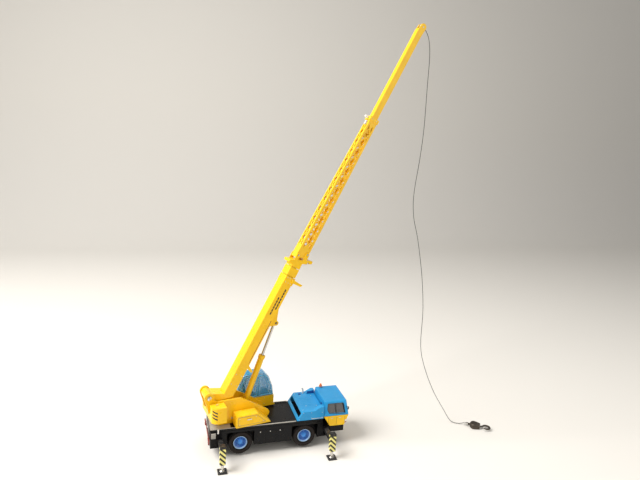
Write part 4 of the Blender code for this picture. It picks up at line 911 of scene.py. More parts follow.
@dataclass
class Outrigger:
    """One outrigger: striped casing, chromed jack rod and square foot pad."""

    end: End
    side: Side
    pad_height: float = 1.6
    rod_radius: float = 1.72
    bolt_spread: float = 2.1

    def build(self) -> None:
        """Build the jack and dress the casing."""
        where = f"{self.end.value}_{self.side.word}"
        casing, jack, body = f"outrigger_{where}", f"jack_{where}", f"{where}_jack"
        dress(JACK_PAINT, casing)
        x, y, _ = CARRIER.middle(jack)
        axes = CARRIER.moved(x, y)
        half, top, thick = axes.half_size(jack)[0], axes.span(jack)[1][2], self.pad_height
        rod_profile = [(thick - 0.2, 0), (thick - 0.2, 3.2), (thick + 0.5, 3.1), (thick + 1.1, 2.4),
                       (thick + 1.25, 2), (thick + 1.3, self.rod_radius), (top - 0.2, self.rod_radius), (top, 1.5),
                       (top, 0)]
        make_piece(f"{jack}_rod", revolved(axes.along_up(), rod_profile, 48), CHROME, body, (jack,))
        pad = [boxes(axes, (-half, -half, 0), (half, half, thick - 0.3), 0.5, 3),
               boxes(axes, (0.8 - half, 0.8 - half, thick - 0.5), (half - 0.8, half - 0.8, thick), 0.25),
               studs(axes.moved(z=thick - 0.1), (half - 1.5) * CORNERS, 0.45, 0.3, 12)]
        make_piece(f"{jack}_pad", pad, BLACK_PLASTIC, body)
        self.build_trim(axes, casing, f"{where}_outrigger")

    def build_trim(self, axes: Axes, casing: str, body: str) -> None:
        """Build the casing's top cap bolts and the clamp ring under it."""
        low, high = axes.span(casing)
        cap = studs(axes.moved(z=high[2] - 0.05), self.bolt_spread * CORNERS, 0.5, 0.05)
        seal = [(0, 2.1), (0, 2.8), (-0.05, 2.8), (-0.1, 2.7), (-0.1, 2.1), (0, 2.1)]
        collar = revolved(axes.moved(z=low[2]).along_up(), seal, 36)
        make_piece(f"{casing}_collar", [collar, cap], DARK_STEEL, body)


@dataclass
class Carrier:
    """The truck: chassis, deck, hood, driver's cab and its fittings. A cab corner is (half width, height)."""

    deck_top: float = 34.7
    hood_top: float = 45.8
    body_half: float = 25.0
    skirt_half: float = 24.7
    sill: tuple[float, float] = (25.0, 37.4)
    eave: tuple[float, float] = (19.65, 53.7)
    axles: tuple[float, float] = (0.0, 74.3)
    axle_height: float = 15.45
    arch_radius: float = 14.9
    wheels: list[Wheelset] = field(default_factory=lambda: [Wheelset(end) for end in End])
    outriggers: list[Outrigger] = field(default_factory=lambda: [Outrigger(e, s) for e in End for s in Side])

    def build(self) -> None:
        """Dress the castings and build their details."""
        for finish, nodes in ((BLACK, ("chassis_frame", "front_bumper")), (DECK, ("deck_plate",)),
                              # The grey deck_edging is a raised rail along both deck edges. Its pale grey is also a
                              # painted highlight on the black deck's edges.
                              (GREY, ("deck_edging", "side_step_left", "side_step_right")),
                              (BLUE, ("engine_hood", "driver_cab")), (YELLOW, ("cab_lower_panel",)),
                              (GLAZING, ("driver_cab_glazing",)), (RED_LENS, ("tail_lamp_bar",)),
                              (CLEAR_LENS, ("headlamps",)), (STEEL, ("slew_ring", "beacon_base"))):
            dress(finish, *nodes)
        for step in (self.build_hood_details, self.build_cab_details, self.build_corner_lamps, self.build_beacon,
                     self.build_exhaust, self.build_rear_details, self.build_deck_details, self.build_skirts):
            step()
        for part in (*self.wheels, *self.outriggers):
            part.build()

    def build_hood_details(self) -> None:
        """Build louvres on the hood's sides, seams, hinges, catches, a bright steel strip low on each side that is a
        painted highlight, and the filler cap on its top.
        """
        half = CARRIER.span("engine_hood")[1][1]
        x, y = np.linspace(73.2, 79.8, 7), np.arange(-8, 9, 4)
        spots = rows((67.4, 81.6, 81.6, 72, 94.5, 94.5), (36.6, 37.6, 44.2, 44.6, 37.8, 43.4), 0)
        louvres, fittings_and_highlight_strips = [], []
        for side in Side:
            face = on_side(CARRIER.moved(y=side.value * half), side)
            louvres.append(boxes(face, rows(x, 38.3, -0.2), rows(x + 0.55, 43.6, 0.1), 0.12))
            # The bright steel strip low on each side of the hood is a painted highlight along the hood's lower side.
            fittings_and_highlight_strips += [studs(face, spots, 0.36, 0.12, 10), boxes(face, (82, 36.1, -0.2), (96, 36.9, 0.12), 0.1)]
        top = CARRIER.moved(z=self.hood_top)
        spots = rows((78, 91, 78.5, 91, 72.5, 72.5), (15, 13, -11, -12, 20, -20), 0)
        fittings_and_highlight_strips.append(studs(top, spots, 0.6, 0.3, 16))
        ribs = [boxes(top, rows(74, y - 0.35, -0.3), rows(88, y + 0.35, 0.22), 0.15),
                boxes(top, (81.6, -17.6, -0.3), (82, 17.6, 0.08), 0.05)]
        cap = [(0, 0), (0, 1.7), (0.5, 1.7), (0.7, 1.5), (0.7, 0.5), (1, 0.4), (1.05, 0)]
        make_piece("hood_louvres", louvres, BLUE, "carrier")
        make_piece("hood_fittings_and_highlight_strips", fittings_and_highlight_strips, STEEL, "carrier")
        make_piece("hood_top_ribs", ribs, BLUE, "carrier")
        make_piece("hood_filler_cap", revolved(top.moved(78, 19).along_up(), cap, 32), DARK_BLUE, "carrier")

    def cab_side_axes(self, side: Side) -> Axes:
        """Axes on the sloping side of the cab: along forwards, side up the slope, up out of the glass."""
        low, high = (np.array((0, side.value * half, height)) for half, height in (self.sill, self.eave))
        slope = unit(high - low)
        return Axes(CARRIER.world(low), CARRIER.along, slope, side.value * np.cross(slope, CARRIER.along))

    def build_cab_details(self) -> None:
        """Build window seals, door seams, handles and mirrors."""
        rise = self.eave[1] - self.sill[1]
        stretch = np.hypot(rise, self.sill[0] - self.eave[0]) / rise
        window = rows((104, 123.6, 121.6, 102.6, 101.6),
                      (np.array((40, 39.4, 50.8, 50.8, 44.4)) - self.sill[1]) * stretch)
        pillar = rows((112.6, 112.2), (np.array((39.8, 50.8)) - self.sill[1]) * stretch, -0.1)
        seals, seams, handles, mirrors = [], [], [], []
        for side in Side:
            axes, out = self.cab_side_axes(side), side.value
            face = on_side(CARRIER.moved(y=out * self.body_half), side)
            seals += [bead(axes, window, 1.1, 0, 0.32), rod(axes, *pillar, 0.3, 8, 6)]
            seams += [rod(axes, (x, 0.5, 0.02), (x - 0.12, 2, 0.02), 0.1) for x in (100.6, 112.8, 125)]
            seams += [rod(face, (x, 36.4, 0), (x, 27, 0), 0.12) for x in (102.9, 112.8, 123)]
            handles += [boxes(face, (x, 34.6, -0.1), (x + 3, 35.4, 0.55), 0.3) for x in (105.5, 115.5)]
            arm = CARRIER.world([(124.6, out * 22.4, 46.5), (126.6, out * 23.6, 47), (127, out * 24.4, 46.6)])
            mirrors += [swept(smooth_path(arm, 8), 0.25, UP, 8),
                        boxes(CARRIER, (126.1, out * 23.9, 43.6), (127.7, out * 24.7, 47.2), 0.35, 3)]
        make_piece("cab_window_seals", seals, BLACK_PLASTIC, "carrier")
        make_piece("cab_door_seams", seams, BLACK_PLASTIC, "carrier")
        make_piece("cab_door_handles", handles, STEEL, "carrier")
        make_piece("cab_mirrors", mirrors, BLACK_PLASTIC, "carrier")

    def build_corner_lamps(self) -> None:
        """Build the red lamps with pale frames on the cab's front corners, and two dark blue patches of painted
        shade: on the inner face of the far cowl and at the cab's rear wall.
        """
        frames = [boxes(CARRIER, (123.2, s.value * 23.6, 27), (124.9, s.value * 25.15, 31.4), 0.3) for s in Side]
        lenses = [boxes(CARRIER, (123.5, s.value * 24.2, 27.5), (125.1, s.value * 25.35, 29.3), 0.3, 3)
                  for s in Side]
        # Painted shade: two thin dark blue sheets, on the far cowl's inner face and at the cab's rear wall, where
        # shade falls.
        shade_patches = [boxes(CARRIER, (87.5, 18.2, 43.6), (96.2, 18.5, 49.2), 0.1),
                  boxes(CARRIER, (95.2, -15.6, 45.5), (96.7, -13.4, 50.4), 0.3)]
        make_piece("corner_lamp_frames", frames, PALE_METAL, "carrier")
        make_piece("corner_lamp_lenses", lenses, RED_LENS, "carrier")
        make_piece("hood_painted_shade_patches", shade_patches, DARK_BLUE, "carrier")

    def build_beacon(self) -> None:
        """Build the beacon's domed lens with a short step at its foot."""
        low, high = CARRIER.span("beacon_lens")
        x, y, _ = (low + high) / 2
        radius = (high[0] - low[0]) / 2
        dome = arc((high[2] - low[2] - 1.5, 0), 1.5, 90, 0, 10)
        profile = np.vstack(((0, 0), (0, radius), (0.35, radius), (0.45, radius - 0.35), dome))
        foot = CARRIER.moved(x, y, low[2]).along_up()
        make_piece("beacon_dome", revolved(foot, profile, 40), AMBER, "carrier", ("beacon_lens",))

    def build_exhaust(self) -> None:
        """Build the exhaust pipe with its bent mouth and clamp."""
        x, y, base = 83.0, 21.2, CARRIER.span("exhaust_stack")[0][2]
        route = CARRIER.world([(x, y, base), (x, y, 47.5), (x - 0.15, y, 50.2), (81.6, y, 52.6)])
        clamp = [(46.6, 1.04), (46.6, 1.1), (47.3, 1.1), (47.3, 1.04)]
        shells = [swept(smooth_path(route, 24), 1.02, CARRIER.side, 28),
                  revolved(CARRIER.moved(x, y).along_up(), clamp, 32)]
        make_piece("exhaust_pipe", shells, PALE_METAL, "carrier", ("exhaust_stack",))

    def build_rear_details(self) -> None:
        """Build the silver post and the tow loop at the carrier's rear, and the mudguard lips over the wheels."""
        post = [(0, 0), (0, 0.95), (0.5, 0.95), (0.6, 0.7), (2.8, 0.7), (3, 1), (4.2, 1), (4.4, 0.8), (4.4, 0)]
        turn = np.linspace(0, np.pi, 15)
        loop = CARRIER.moved(-33.6, 0, 26).world(rows(-1.2 * np.sin(turn), 1.6 * np.cos(turn), 0))
        shells = [revolved(CARRIER.moved(-25, -25.6, 31).along_up(), post, 28), swept(loop, 0.4, UP, 10)]
        make_piece("rear_post_and_tow_loop", shells, PALE_METAL, "carrier")
        turn = np.radians(np.linspace(28, 152, 25))
        across = self.arch_radius * np.cos(turn)
        height = self.axle_height + np.minimum(self.arch_radius * np.sin(turn), 14.05)
        lips = [swept(CARRIER.world(rows(x + across, side.value * 24.5, height)), 0.3, CARRIER.side, 8)
                for x in self.axles for side in Side]
        make_piece("wheel_arch_lips", lips, BLACK, "carrier")

    def build_deck_details(self) -> None:
        """Build the deck's grey trays, its rivets and the slewing ring's bolts."""
        top = CARRIER.moved(z=self.deck_top)
        trays = boxes(top, ((-32.6, -22, 0.2), (-32.6, 13, 0.2)), ((-25.5, -13.5, 1.1), (-25.5, 22, 1.1)), 0.3)
        x, y = np.array((-30, -12, 4, 20, 36, 52)), np.array((23.3, 24, 24, 24, 24, 24))
        rivets = studs(top, rows(np.tile(x, 2), np.hstack((-y, y)), 0.9), 0.42, 0.22, 12)
        bolts = studs(SLEW.moved(z=35.7), circle(8.6, 12, 0.2), 0.5, 0.25)
        make_piece("deck_tool_trays", trays, GREY, "carrier")
        make_piece("deck_rivets", rivets, STEEL, "carrier")
        make_piece("slew_ring_bolts", bolts, DARK_STEEL, "carrier")

    def build_skirts(self) -> None:
        """Build locker lids and latches on the chassis sides."""
        faces = [on_side(CARRIER.moved(y=side.value * self.skirt_half), side) for side in Side]
        x = np.array((17.2, 28.6, 40.0))
        lids = [boxes(face, rows(x, 14.6, -0.3), rows(x + 10.2, 28.6, 0.22), 0.2, 3) for face in faces]
        latches = [studs(face, rows(x + 5.1, 26.8, 0.2), 0.6, 0.15, 14) for face in faces]
        make_piece("chassis_locker_lids", lids, BLACK, "carrier")
        make_piece("chassis_locker_latches", latches, STEEL, "carrier")


@dataclass
class UpperWorks:
    """The turning superstructure: cheek frame, locker, counterweight, winch and pivot pin."""

    locker_half: float = 25.0
    winding_pitch: float = 0.7
    knob_teeth: int = 36
    stripe_centre: tuple[float, float] = (-42.5, 17.5)
    stripe_radius: float = 6.55

    def build(self) -> None:
        """Dress the castings and build their details."""
        dress(YELLOW, "turntable_frame", "counterweight", "side_locker", "crane_cab_base")
        dress(STEEL, "slew_pin")
        self.build_pivot_pin()
        self.build_winch()
        self.build_locker_details()
        self.build_counterweight_details()

    def build_pivot_pin(self) -> None:
        """Build the boom's pivot: a turned pin with slotted heads."""
        axes = hinge_axes("boom_luff")
        reach = axes.span("boom_pivot_pin")[1][0]
        profile = symmetric([(reach, 0), (reach, 1.8), (reach - 0.35, 2.35), (reach - 1, 2.45), (reach - 1, 1.55)])
        slots = [boxes(axes, (s * reach, -2, -0.28), (s * (reach - 0.12), 2, 0.28), 0.05) for s in (1, -1)]
        make_piece("pivot_pin_turned", revolved(axes, profile, 40), STEEL, "superstructure", ("boom_pivot_pin",))
        make_piece("pivot_pin_slots", slots, DARK_STEEL, "superstructure")

    def build_winch(self) -> None:
        """Build the drum wound with thread between flanges, and its knurled knob.

        The winding's surface is the drum radius plus |sin| of the distance along it, one arch for each turn.
        """
        axes = hinge_axes("winch_spin")
        start, end = (corner[0] for corner in axes.span("winch_drum"))
        along = np.linspace(-6.6, 6.6, 230)
        wound = rows(along, 2.25 + 0.32 * np.abs(np.sin(np.pi * along / self.winding_pitch)))
        wound = np.vstack(((along[0], 0), wound, (along[-1], 0)))
        make_piece("winch_windings", revolved(axes, wound, 32), THREAD, "winch")
        flange = np.array(((6.7, 0), (6.7, 2.9), (6.9, 3), (7.7, 3), (7.9, 2.85), (7.9, 0)))
        shells = [revolved(axes, flange * (s, 1), 48) for s in (1, -1)]
        shells.append(revolved(axes, [(start, 0), (start, 1.05), (end - 0.1, 1.05), (end - 0.1, 0)], 32))
        make_piece("winch_flanges", shells, STEEL, "winch", ("winch_drum",))
        inner, outer = (corner[0] for corner in axes.span("winch_knob"))
        profile = np.array(((inner, 0), (inner, 2.9), (inner + 0.3, 3.15), (outer - 0.35, 3.15), (outer, 2.8),
                            (outer - 0.25, 2.4), (outer - 0.25, 0)))
        angle = np.linspace(0, 2 * np.pi, 4 * self.knob_teeth, endpoint=False)[None]
        teeth = 0.16 * np.abs(np.sin(angle * self.knob_teeth / 2)) * (profile[:, 1:] > 3)
        radius = np.maximum(profile[:, 1:] - teeth, 0)
        knob = grid_shell(axes.world(turned(profile[:, :1], radius, angle)))
        make_piece("winch_knob_knurled", knob, STEEL, "winch", ("winch_knob",), sharp=30)

    def build_locker_details(self) -> None:
        """Build the locker's lid seam, handle and screws on its outer face."""
        face = on_side(SLEW.moved(y=-self.locker_half), Side.RIGHT)
        seam = bead(face, [(-20.4, 38.4), (12.6, 38.4), (1.4, 48.2), (-20.4, 48.2)], 1.2, 0.02, 0.16, 6)
        parts = [boxes(face, (-10, 44, -0.1), (-4.5, 45.2, 0.8), 0.3, 3),
                 studs(face, rows((-18.6, -18.6, 0.6, 9.4), (40, 46.6, 46.6, 40), 0), 0.5, 0.25)]
        make_piece("locker_lid_seam", seam, DARK_STEEL, "superstructure")
        make_piece("locker_handle", parts, STEEL, "superstructure")

    def build_counterweight_details(self) -> None:
        """Build slanted warning stripes on both rear corners and lifting eyes on top.

        A stripe is a band wrapped on the corner's arc at angles a, between heights that climb with a.
        """
        top = SLEW.span("counterweight")[1][2]
        x, y = self.stripe_centre
        rise = np.linspace(0, 2.6, 16)
        shells = []
        for side in (1, -1):
            angle = side * np.radians(np.linspace(98, 152, 16))
            for start in (49.6, 53.2, 56.8):
                rings = [rows(x + (self.stripe_radius + out) * np.cos(angle),
                              side * y + (self.stripe_radius + out) * np.sin(angle), start + rise + lift)
                         for lift, out in ((0, -0.3), (0, 0), (1.7, 0), (1.7, -0.3), (0, -0.3))]
                shells.append(grid_shell(SLEW.world(np.stack(rings, axis=1)), wrap_columns=False))
        make_piece("counterweight_stripes", shells, DECAL, "superstructure")
        turn = np.linspace(0, np.pi, 15)
        eyes = [swept(SLEW.world(rows(-42 + 1.3 * np.cos(turn), y, top - 0.3 + 1.5 * np.sin(turn))), 0.35,
                      SLEW.side, 10) for y in (-16, 16)]
        make_piece("counterweight_eyes", eyes, STEEL, "superstructure")


@dataclass
class OperatorCab:
    """The clear blue operator's cab with its seat and console inside."""

    near: float = 11.2
    far: float = 26.0
    recline: float = 9.0

    def build(self) -> None:
        """Dress the shell and build the frames, the seat and the fittings."""
        dress(BLUE_CLEAR, "crane_cab_glass")
        self.build_frames()
        self.build_seat()
        self.build_base_details()

    def build_frames(self) -> None:
        """Build the moulded window frames and roof ribs as slim raised beads."""
        door = [(-3, 51.6), (14, 51.6), (14, 76.6), (-1, 76.6), (-6.6, 64)]
        front = [(16.6, 51.6), (33.4, 51.6), (31.8, 60.8), (26.8, 73), (23.6, 76.4), (16.6, 76.8)]
        beads = [bead(on_side(SLEW.moved(y=y), side), outline, 1.4, -0.05, 0.42)
                 for side, y in ((Side.RIGHT, self.near), (Side.LEFT, self.far)) for outline in (door, front)]
        across = np.linspace(self.near + 2.2, self.far - 2.2, 5)
        beads.append(boxes(SLEW, rows(0.5, across - 0.3, 79), rows(17.5, across + 0.3, 79.98), 0.2))
        make_piece("crane_cab_frames", beads, BLUE_RIB, "superstructure")

    def build_seat(self) -> None:
        """Build a seat with a bolstered cushion and back, a console, instruments and two levers."""
        low, high = SLEW.span("operator_seat")
        (_, y0, floor), y1 = low, high[1]
        middle, half = (y0 + y1) / 2, (y1 - y0) / 2
        plinth = [boxes(SLEW, (-1, y0, floor), (12, y1, 53.4), 0.5, 3),
                  boxes(SLEW, (11, y0 + 0.4, floor), (30.8, y1 - 0.4, 51.2), 0.4, 3)]
        make_piece("operator_plinth", plinth, GREY, "superstructure", ("operator_seat",))
        cos, sin = np.cos(np.radians(self.recline)), np.sin(np.radians(self.recline))
        back = Axes(SLEW.world((1.2, middle, 54)), cos * SLEW.along + sin * UP, SLEW.side,
                    cos * UP - sin * SLEW.along)
        cushions = [boxes(SLEW, (1.8, y0 + 0.5, 53.2), (11.6, y1 - 0.5, 55), 0.9, 4),
                    boxes(back, (-1, 0.8 - half, -0.4), (1, half - 0.8, 8.6), 0.9, 4),
                    boxes(back, (-0.8, -2, 8.9), (0.8, 2, 11.6), 0.7, 4)]
        make_piece("operator_cushions", cushions, SEAT_GREY, "superstructure")
        console = boxes(SLEW, (22.6, y0 + 0.4, 51), (29.8, y1 - 0.4, 56.2), 0.8, 4)
        make_piece("operator_console", console, PALE_GREY, "superstructure")
        spots = rows((23.6, 23.6, 26.6, 26.6), middle + 2.2 * np.array((-1, 1, -1, 1)), 56)
        dials = boxes(SLEW, spots - (0.9, 0.9, 0), spots + (0.9, 0.9, 0.45), 0.2)
        make_piece("operator_dials", dials, BLACK_PLASTIC, "superstructure")
        ball = np.maximum(arc((0, 0), 0.65, 180, 0, 12), (-1, 0))
        levers = []
        for y in (y0 + 1.2, y1 - 1.2):
            stem = SLEW.world([(17, y, 51), (17.3, y, 54.5), (18.4, y, 57.6)])
            levers += [swept(smooth_path(stem, 10), 0.28, SLEW.side, 10),
                       revolved(Axes(stem[-1], UP, SLEW.along, SLEW.side), ball, 20)]
        make_piece("operator_levers", levers, DARK_STEEL, "superstructure")

    def build_base_details(self) -> None:
        """Build bolts and a step on the cab's base."""
        inner, outer = on_side(SLEW.moved(y=self.near), Side.RIGHT), on_side(SLEW.moved(y=self.far), Side.LEFT)
        bolts = studs(inner, rows((24, 34, 34, 24), (40, 40, 47.2, 47.2), -0.02), 0.4, 0.2)
        step = boxes(outer, (2, 40, -0.3), (12, 40.9, -0.02), 0.1)
        make_piece("crane_cab_bolts", [bolts, step], STEEL, "superstructure")


@dataclass
class TelescopicBoom:
    """The three box sections of the boom, with bars, rivets, collars and the head sheave."""

    half: float = 7.8
    bar_length: float = 3.1
    bar_pitch: float = 3.7

    def build(self) -> None:
        """Dress the sections and build what is on them."""
        dress(YELLOW, "boom_base", "boom_middle_section", "boom_head_section")
        self.build_bars()
        self.build_rivets()
        build_grooved_sheave("head_sheave", "head_sheave_spin", "head_pulley", 3.4, 2.0, 7.0)
        self.build_jib_pins()

    def build_bars(self) -> None:
        """Build plain printed bars in two rows and a thin line on both sides, raised a hair's breadth."""
        dark, red = [], []
        for side in Side:
            face = on_side(BOOM.moved(y=side.value * self.half), side)
            for z, start, count in ((-19.4, 110, 6), (-22.6, 117.5, 7)):
                x = start + self.bar_pitch * np.arange(count)
                dark.append(boxes(face, rows(x, z - 0.8, -0.1), rows(x + self.bar_length, z + 0.8, 0.05), 0.05))
            red.append(boxes(face, (50, -25, -0.1), (104, -24.3, 0.05), 0.05))
        make_piece("boom_side_bars", dark, DECAL, "boom")
        make_piece("boom_side_line", red, RED_MARK, "boom")

    def build_rivets(self) -> None:
        """Build rivets round the base section's collar and the root."""
        groups = ((0.7, (150.6, 156.2), (-17.2, -20.6, -24), (0.45, 0.2)), (0, (22, 34), (-17, -24), (0.5, 0.25)))
        heads = []
        for side in Side:
            for out, along, heights, size in groups:
                x, z = np.meshgrid(along, heights)
                face = on_side(BOOM.moved(y=side.value * (self.half + out)), side)
                heads.append(studs(face, rows(x.ravel(), z.ravel(), 0), *size, 12))
        make_piece("boom_rivets", heads, STEEL, "boom")

    def build_jib_pins(self) -> None:
        """Build the two pins that hold the jib, with domed heads."""
        for name in ("jib_pin_upper", "jib_pin_lower"):
            radius, reach, _ = BOOM.half_size(name)
            profile = symmetric([(reach, 0), (reach, 0.6 * radius), (reach - 0.2, 0.97 * radius)])
            axes = BOOM.moved(*BOOM.middle(name)).along_side()
            make_piece(f"{name}_turned", revolved(axes, profile, 28), STEEL, body_of(name), (name,))


def build_grooved_sheave(node: str, joint: str, body: str, radius: float, half: float, shaft: float) -> None:
    """Build a sheave with a rounded groove, a hub and its shaft.

    The groove's radius is the rim radius less a depth times the cosine of a quarter turn over the width.
    """
    across = np.linspace(-1, 1, 21)
    groove = radius - 0.85 * np.cos(across * np.pi / 2) ** 0.8 * (np.abs(across) < 0.99)
    flank = [(shaft, 0), (shaft, 0.75), (half, 0.75), (half, radius - 0.9), (half - 0.15, radius - 0.05)]
    profile = symmetric(flank, rows(across * (half - 0.35), groove))
    make_piece(f"{node}_grooved", revolved(hinge_axes(joint), profile, 48), STEEL, body, (node,))


@dataclass
class LuffingCylinder:
    """The luffing cylinder: yellow barrel with gland rings, and a chromed rod."""

    bore: float = 2.05
    wall: float = 3.5
    nose: float = 4.0
    rod: float = 1.68

    def build(self) -> None:
        """Build the barrel and the rod."""
        foot, gland = (corner[0] for corner in CYLINDER.span("cylinder_barrel"))
        barrel = [(foot + 3.5, 0), (foot, 0), (foot, 3), (foot + 0.5, self.wall), (gland - 6.2, self.wall),
                  (gland - 5.9, 3.2), (gland - 5.5, 3.2), (gland - 5.2, self.wall), (gland - 4.1, self.wall),
                  (gland - 3.9, self.nose), (gland - 0.4, self.nose), (gland - 0.05, 3.6),
                  (gland - 0.05, self.bore), (foot + 3.5, self.bore), (foot + 3.5, 0)]
        make_piece("cylinder_barrel_turned", revolved(CYLINDER, barrel, 48), YELLOW, "luffing_barrel",
                   ("cylinder_barrel",))
        end = CYLINDER.span("cylinder_rod")[0][0]
        rod_profile = [(end, 0), (end, 1.5), (end + 0.2, self.rod), (-1.5, self.rod), (-1.2, 1.2), (-1, 0)]
        across = CYLINDER.along_side()
        eye = symmetric([(2.9, 0), (2.9, 2.2), (2.6, 2.45)])
        pin = symmetric([(5.6, 0), (5.6, 0.8), (5.3, 1.05)])
        make_piece("cylinder_rod_turned", [revolved(CYLINDER, rod_profile, 40), revolved(across, eye, 40)], CHROME,
                   "luffing_rod", ("cylinder_rod",))
        make_piece("cylinder_pin_turned", revolved(across, pin, 32), DARK_STEEL, "luffing_rod")


@dataclass
class LatticeJib:
    """The lattice jib, its sliding tip and the tip sheave."""

    collar_half: float = 5.6
    plate_half: float = 5.95
    grip: float = 1.48

    def build(self) -> None:
        """Dress the lattice and build its peg, fittings and sheave."""
        dress(JIB_YELLOW, "lattice_jib", "jib_tip")
        self.build_peg()
        self.build_fittings()
        build_grooved_sheave("tip_sheave", "tip_sheave_spin", "tip_pulley", 3.2, 1.6, 3.4)

    def build_fittings(self) -> None:
        """Build the plated latch under the peg and the bolts of the jib's collar."""
        peg = BOOM.middle("jib_lock_peg")[0]
        top = BOOM.span("lattice_jib")[1][2]
        groups = ((self.collar_half, rows(peg + 0.2, (-20.5, -26.5), 0), (0.5, 0.25, 12)),
                  (self.plate_half, rows((184, 189), (-16.8, -27), 0), (1.3, 0.12, 24)))
        bolts = [studs(on_side(BOOM.moved(y=side.value * out), side), spots, *size)
                 for side in Side for out, spots, size in groups]
        latch = boxes(BOOM, (peg - 8.5, -1.6, top - 3.6), (peg - 3.6, 1.6, top - 1.2), 0.4, 3)
        make_piece("jib_collar_bolts", bolts, STEEL, body_of("lattice_jib"))
        make_piece("jib_latch", latch, PALE_GREY, body_of("lattice_jib"))

    def build_peg(self) -> None:
        """Build the white locking peg with its round grip."""
        foot, top = (corner[2] for corner in BOOM.span("jib_lock_peg"))
        x, y, _ = BOOM.middle("jib_lock_peg")
        start = top - 3.4
        profile = [(foot, 0), (foot, 0.7), (foot + 0.2, 0.88), (start, 0.88), (start, 1.3),
                   (start + 0.25, self.grip), (start + 1.2, self.grip), (start + 1.5, 1.25), (start + 1.8, 1.25),
                   (start + 2.1, self.grip), (top - 0.5, self.grip), (top - 0.1, 1.1), (top, 0)]
        make_piece("jib_peg_turned", revolved(BOOM.moved(x, y).along_up(), profile, 36), WHITE,
                   body_of("jib_lock_peg"), ("jib_lock_peg",))


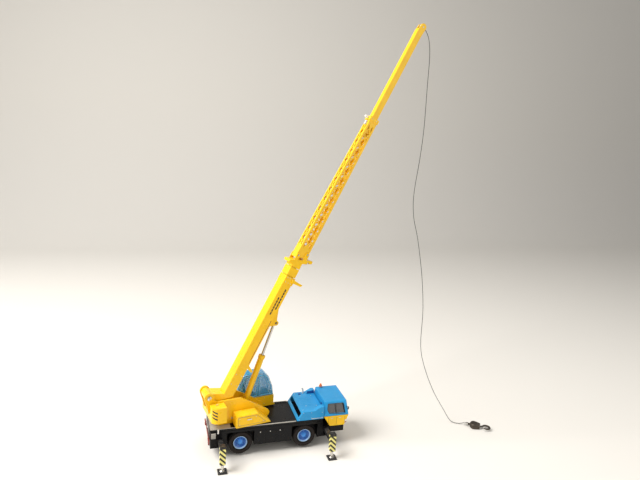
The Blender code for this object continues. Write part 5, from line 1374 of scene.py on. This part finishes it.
@dataclass
class RopeAndHook:
    """The slack hoist rope, its end fitting, the hook block and the hook, lying on the ground.

    The rope's places are pairs of how far it has swayed out from the sheave and how far it has come down.
    """

    rope_radius: float = 0.35
    sheave_radius: float = 3.2
    gap: float = 0.3
    hanging: tuple = ((0, 0), (6, 12), (9, 32), (9.5, 71), (10, 116), (8.4, 152), (5, 196), (7, 225), (15, 255),
                      (24, 300), (29.5, 345), (31, 393), (38, 421), (52, 452), (67, 475))
    lying: tuple = (80, 90)
    easing: int = 15
    block_middle: float = 9.6
    bend_middle: tuple[float, float] = (23.6, 0.8)
    upright: Axes = Axes(HOOK.origin, HOOK.along, HOOK.up, -HOOK.side)

    def build(self) -> None:
        """Build the rope and what hangs on it."""
        pieces = [self.build_fitting(), self.build_block(), self.build_hook()]
        self.build_rope()

    def rope_route(self) -> Array:
        """The rope's route: bows down from the sheave, then along the ground, eased where it meets it."""
        ground = (self.rope_radius + 0.05) * MM
        start = joint_place("rope_swing") + FORWARD * (self.sheave_radius + self.rope_radius + self.gap) * MM
        end = HOOK.world((-4.3, 0, 0))
        sway = unit((end - start) * (1, 1, 0))
        hanging = np.array(self.hanging) * MM
        falling = start + sway * hanging[:, :1] - UP * hanging[:, 1:]
        resting = (start + sway * (np.array(self.lying)[:, None] * MM)) * (1, 1, 0) + UP * ground
        path = smooth_path(np.vstack((falling, resting, end)), 400)
        height = np.maximum(path[:, 2], ground)
        kernel = np.hanning(self.easing + 2)[1:-1]
        reach = self.easing // 2
        padded = np.hstack((2 * height[0] - height[reach:0:-1], height, 2 * height[-1] - height[-2:-reach - 2:-1]))
        eased = np.maximum(np.convolve(padded, kernel / kernel.sum(), mode="valid"), ground)
        return np.column_stack((path[:, :2], eased))

    def build_rope(self) -> None:
        path = self.rope_route()
        rope = make_piece("hoist_thread", swept(path, self.rope_radius, LATERAL, 8), THREAD, "rope_line",
                          ("hoist_rope",))
        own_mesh(rope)

    def build_fitting(self) -> bpy.types.Object:
        """Build the crimped ferrule and its fork at the rope's end."""
        ferrule = [(-4, 0), (-4, 0.7), (-3.8, 0.98), (-3.3, 0.98), (-3.15, 0.8), (-2.9, 0.8), (-2.75, 0.98),
                   (-1.8, 0.98), (-1.6, 0.8), (-1.6, 0)]
        cheek = np.vstack(((-2.4, 0.9), (-2.4, -0.9), arc((0, 0), 0.95, -90, 90, 14)))
        pin = symmetric([(1.5, 0), (1.5, 0.4), (1.42, 0.5)])
        shells = [revolved(HOOK, ferrule, 32), prism(self.upright, cheek, 0.9, 1.35, 0.08),
                  prism(self.upright, cheek, -1.35, -0.9, 0.08), revolved(HOOK.along_side(), pin, 24)]
        return make_piece("rope_ferrule", shells, STEEL, "rope_end", ("rope_end_fitting",))

    def build_block(self) -> bpy.types.Object:
        """Build the cast hook block: a rounded cheek with raised rims and a lug."""
        front = HOOK.span("hook_block")[1][0]
        cheek = np.vstack((arc((self.block_middle, 0), 6.15, 100, 260, 28), (front, -3.2), (front, 3.2)))
        rim = [(2.7, 2), (2.8, 2), (2.98, 2.2), (2.98, 3.9), (2.8, 4.1), (2.7, 4.1), (2.7, 2)]
        lug = np.vstack(((4.4, -1.2), (4.4, 1.2), arc((0, 0), 1.3, 90, 270, 18)))
        middle = HOOK.moved(self.block_middle)
        rims = [revolved(Axes(middle.origin, sign * HOOK.up, HOOK.along, sign * HOOK.side), rim, 40)
                for sign in (1, -1)]
        shells = [prism(HOOK, cheek, -3, 3, 0.6), *rims, prism(self.upright, lug, -0.6, 0.6, 0.1)]
        return make_piece("hook_block_cast", shells, CAST, "load_hook", ("hook_block",))

    def build_hook(self) -> bpy.types.Object:
        """Build the hook as a tapering bar bent round its throat.

        The bar's radius is largest at the bowl and falls to a blunt point, with the bend's middle line between the
        inner and outer arcs.
        """
        root = HOOK.span("hook")[0][0]
        bend = arc(self.bend_middle, 4.35, 160, -118, 44)
        line = np.vstack(((root + 0.1, 0), (root + 1.2, 0.2), (root + 2.4, 1), bend))
        path = HOOK.world(smooth_path(rows(*line.T, 0), 90))
        share = np.linspace(0, 1, 90)
        radius = 1.22 - 0.15 * np.cos(share * 2 * np.pi) - 0.45 * np.clip((share - 0.78) / 0.22, 0, 1) ** 2
        return make_piece("hook_cast", swept(path, radius, HOOK.up, 20), CAST, "load_hook", ("hook",))


def main() -> None:
    """Build the studio and every sub-assembly, in order."""
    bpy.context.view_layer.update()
    for assembly in (Studio(), Carrier(), UpperWorks(), OperatorCab(), TelescopicBoom(), LuffingCylinder(),
                     LatticeJib(), RopeAndHook()):
        LOG.info("building %s", type(assembly).__name__)
        assembly.build()


if __name__ == "__main__":
    logging.basicConfig(level=logging.INFO, format="%(message)s")
    main()
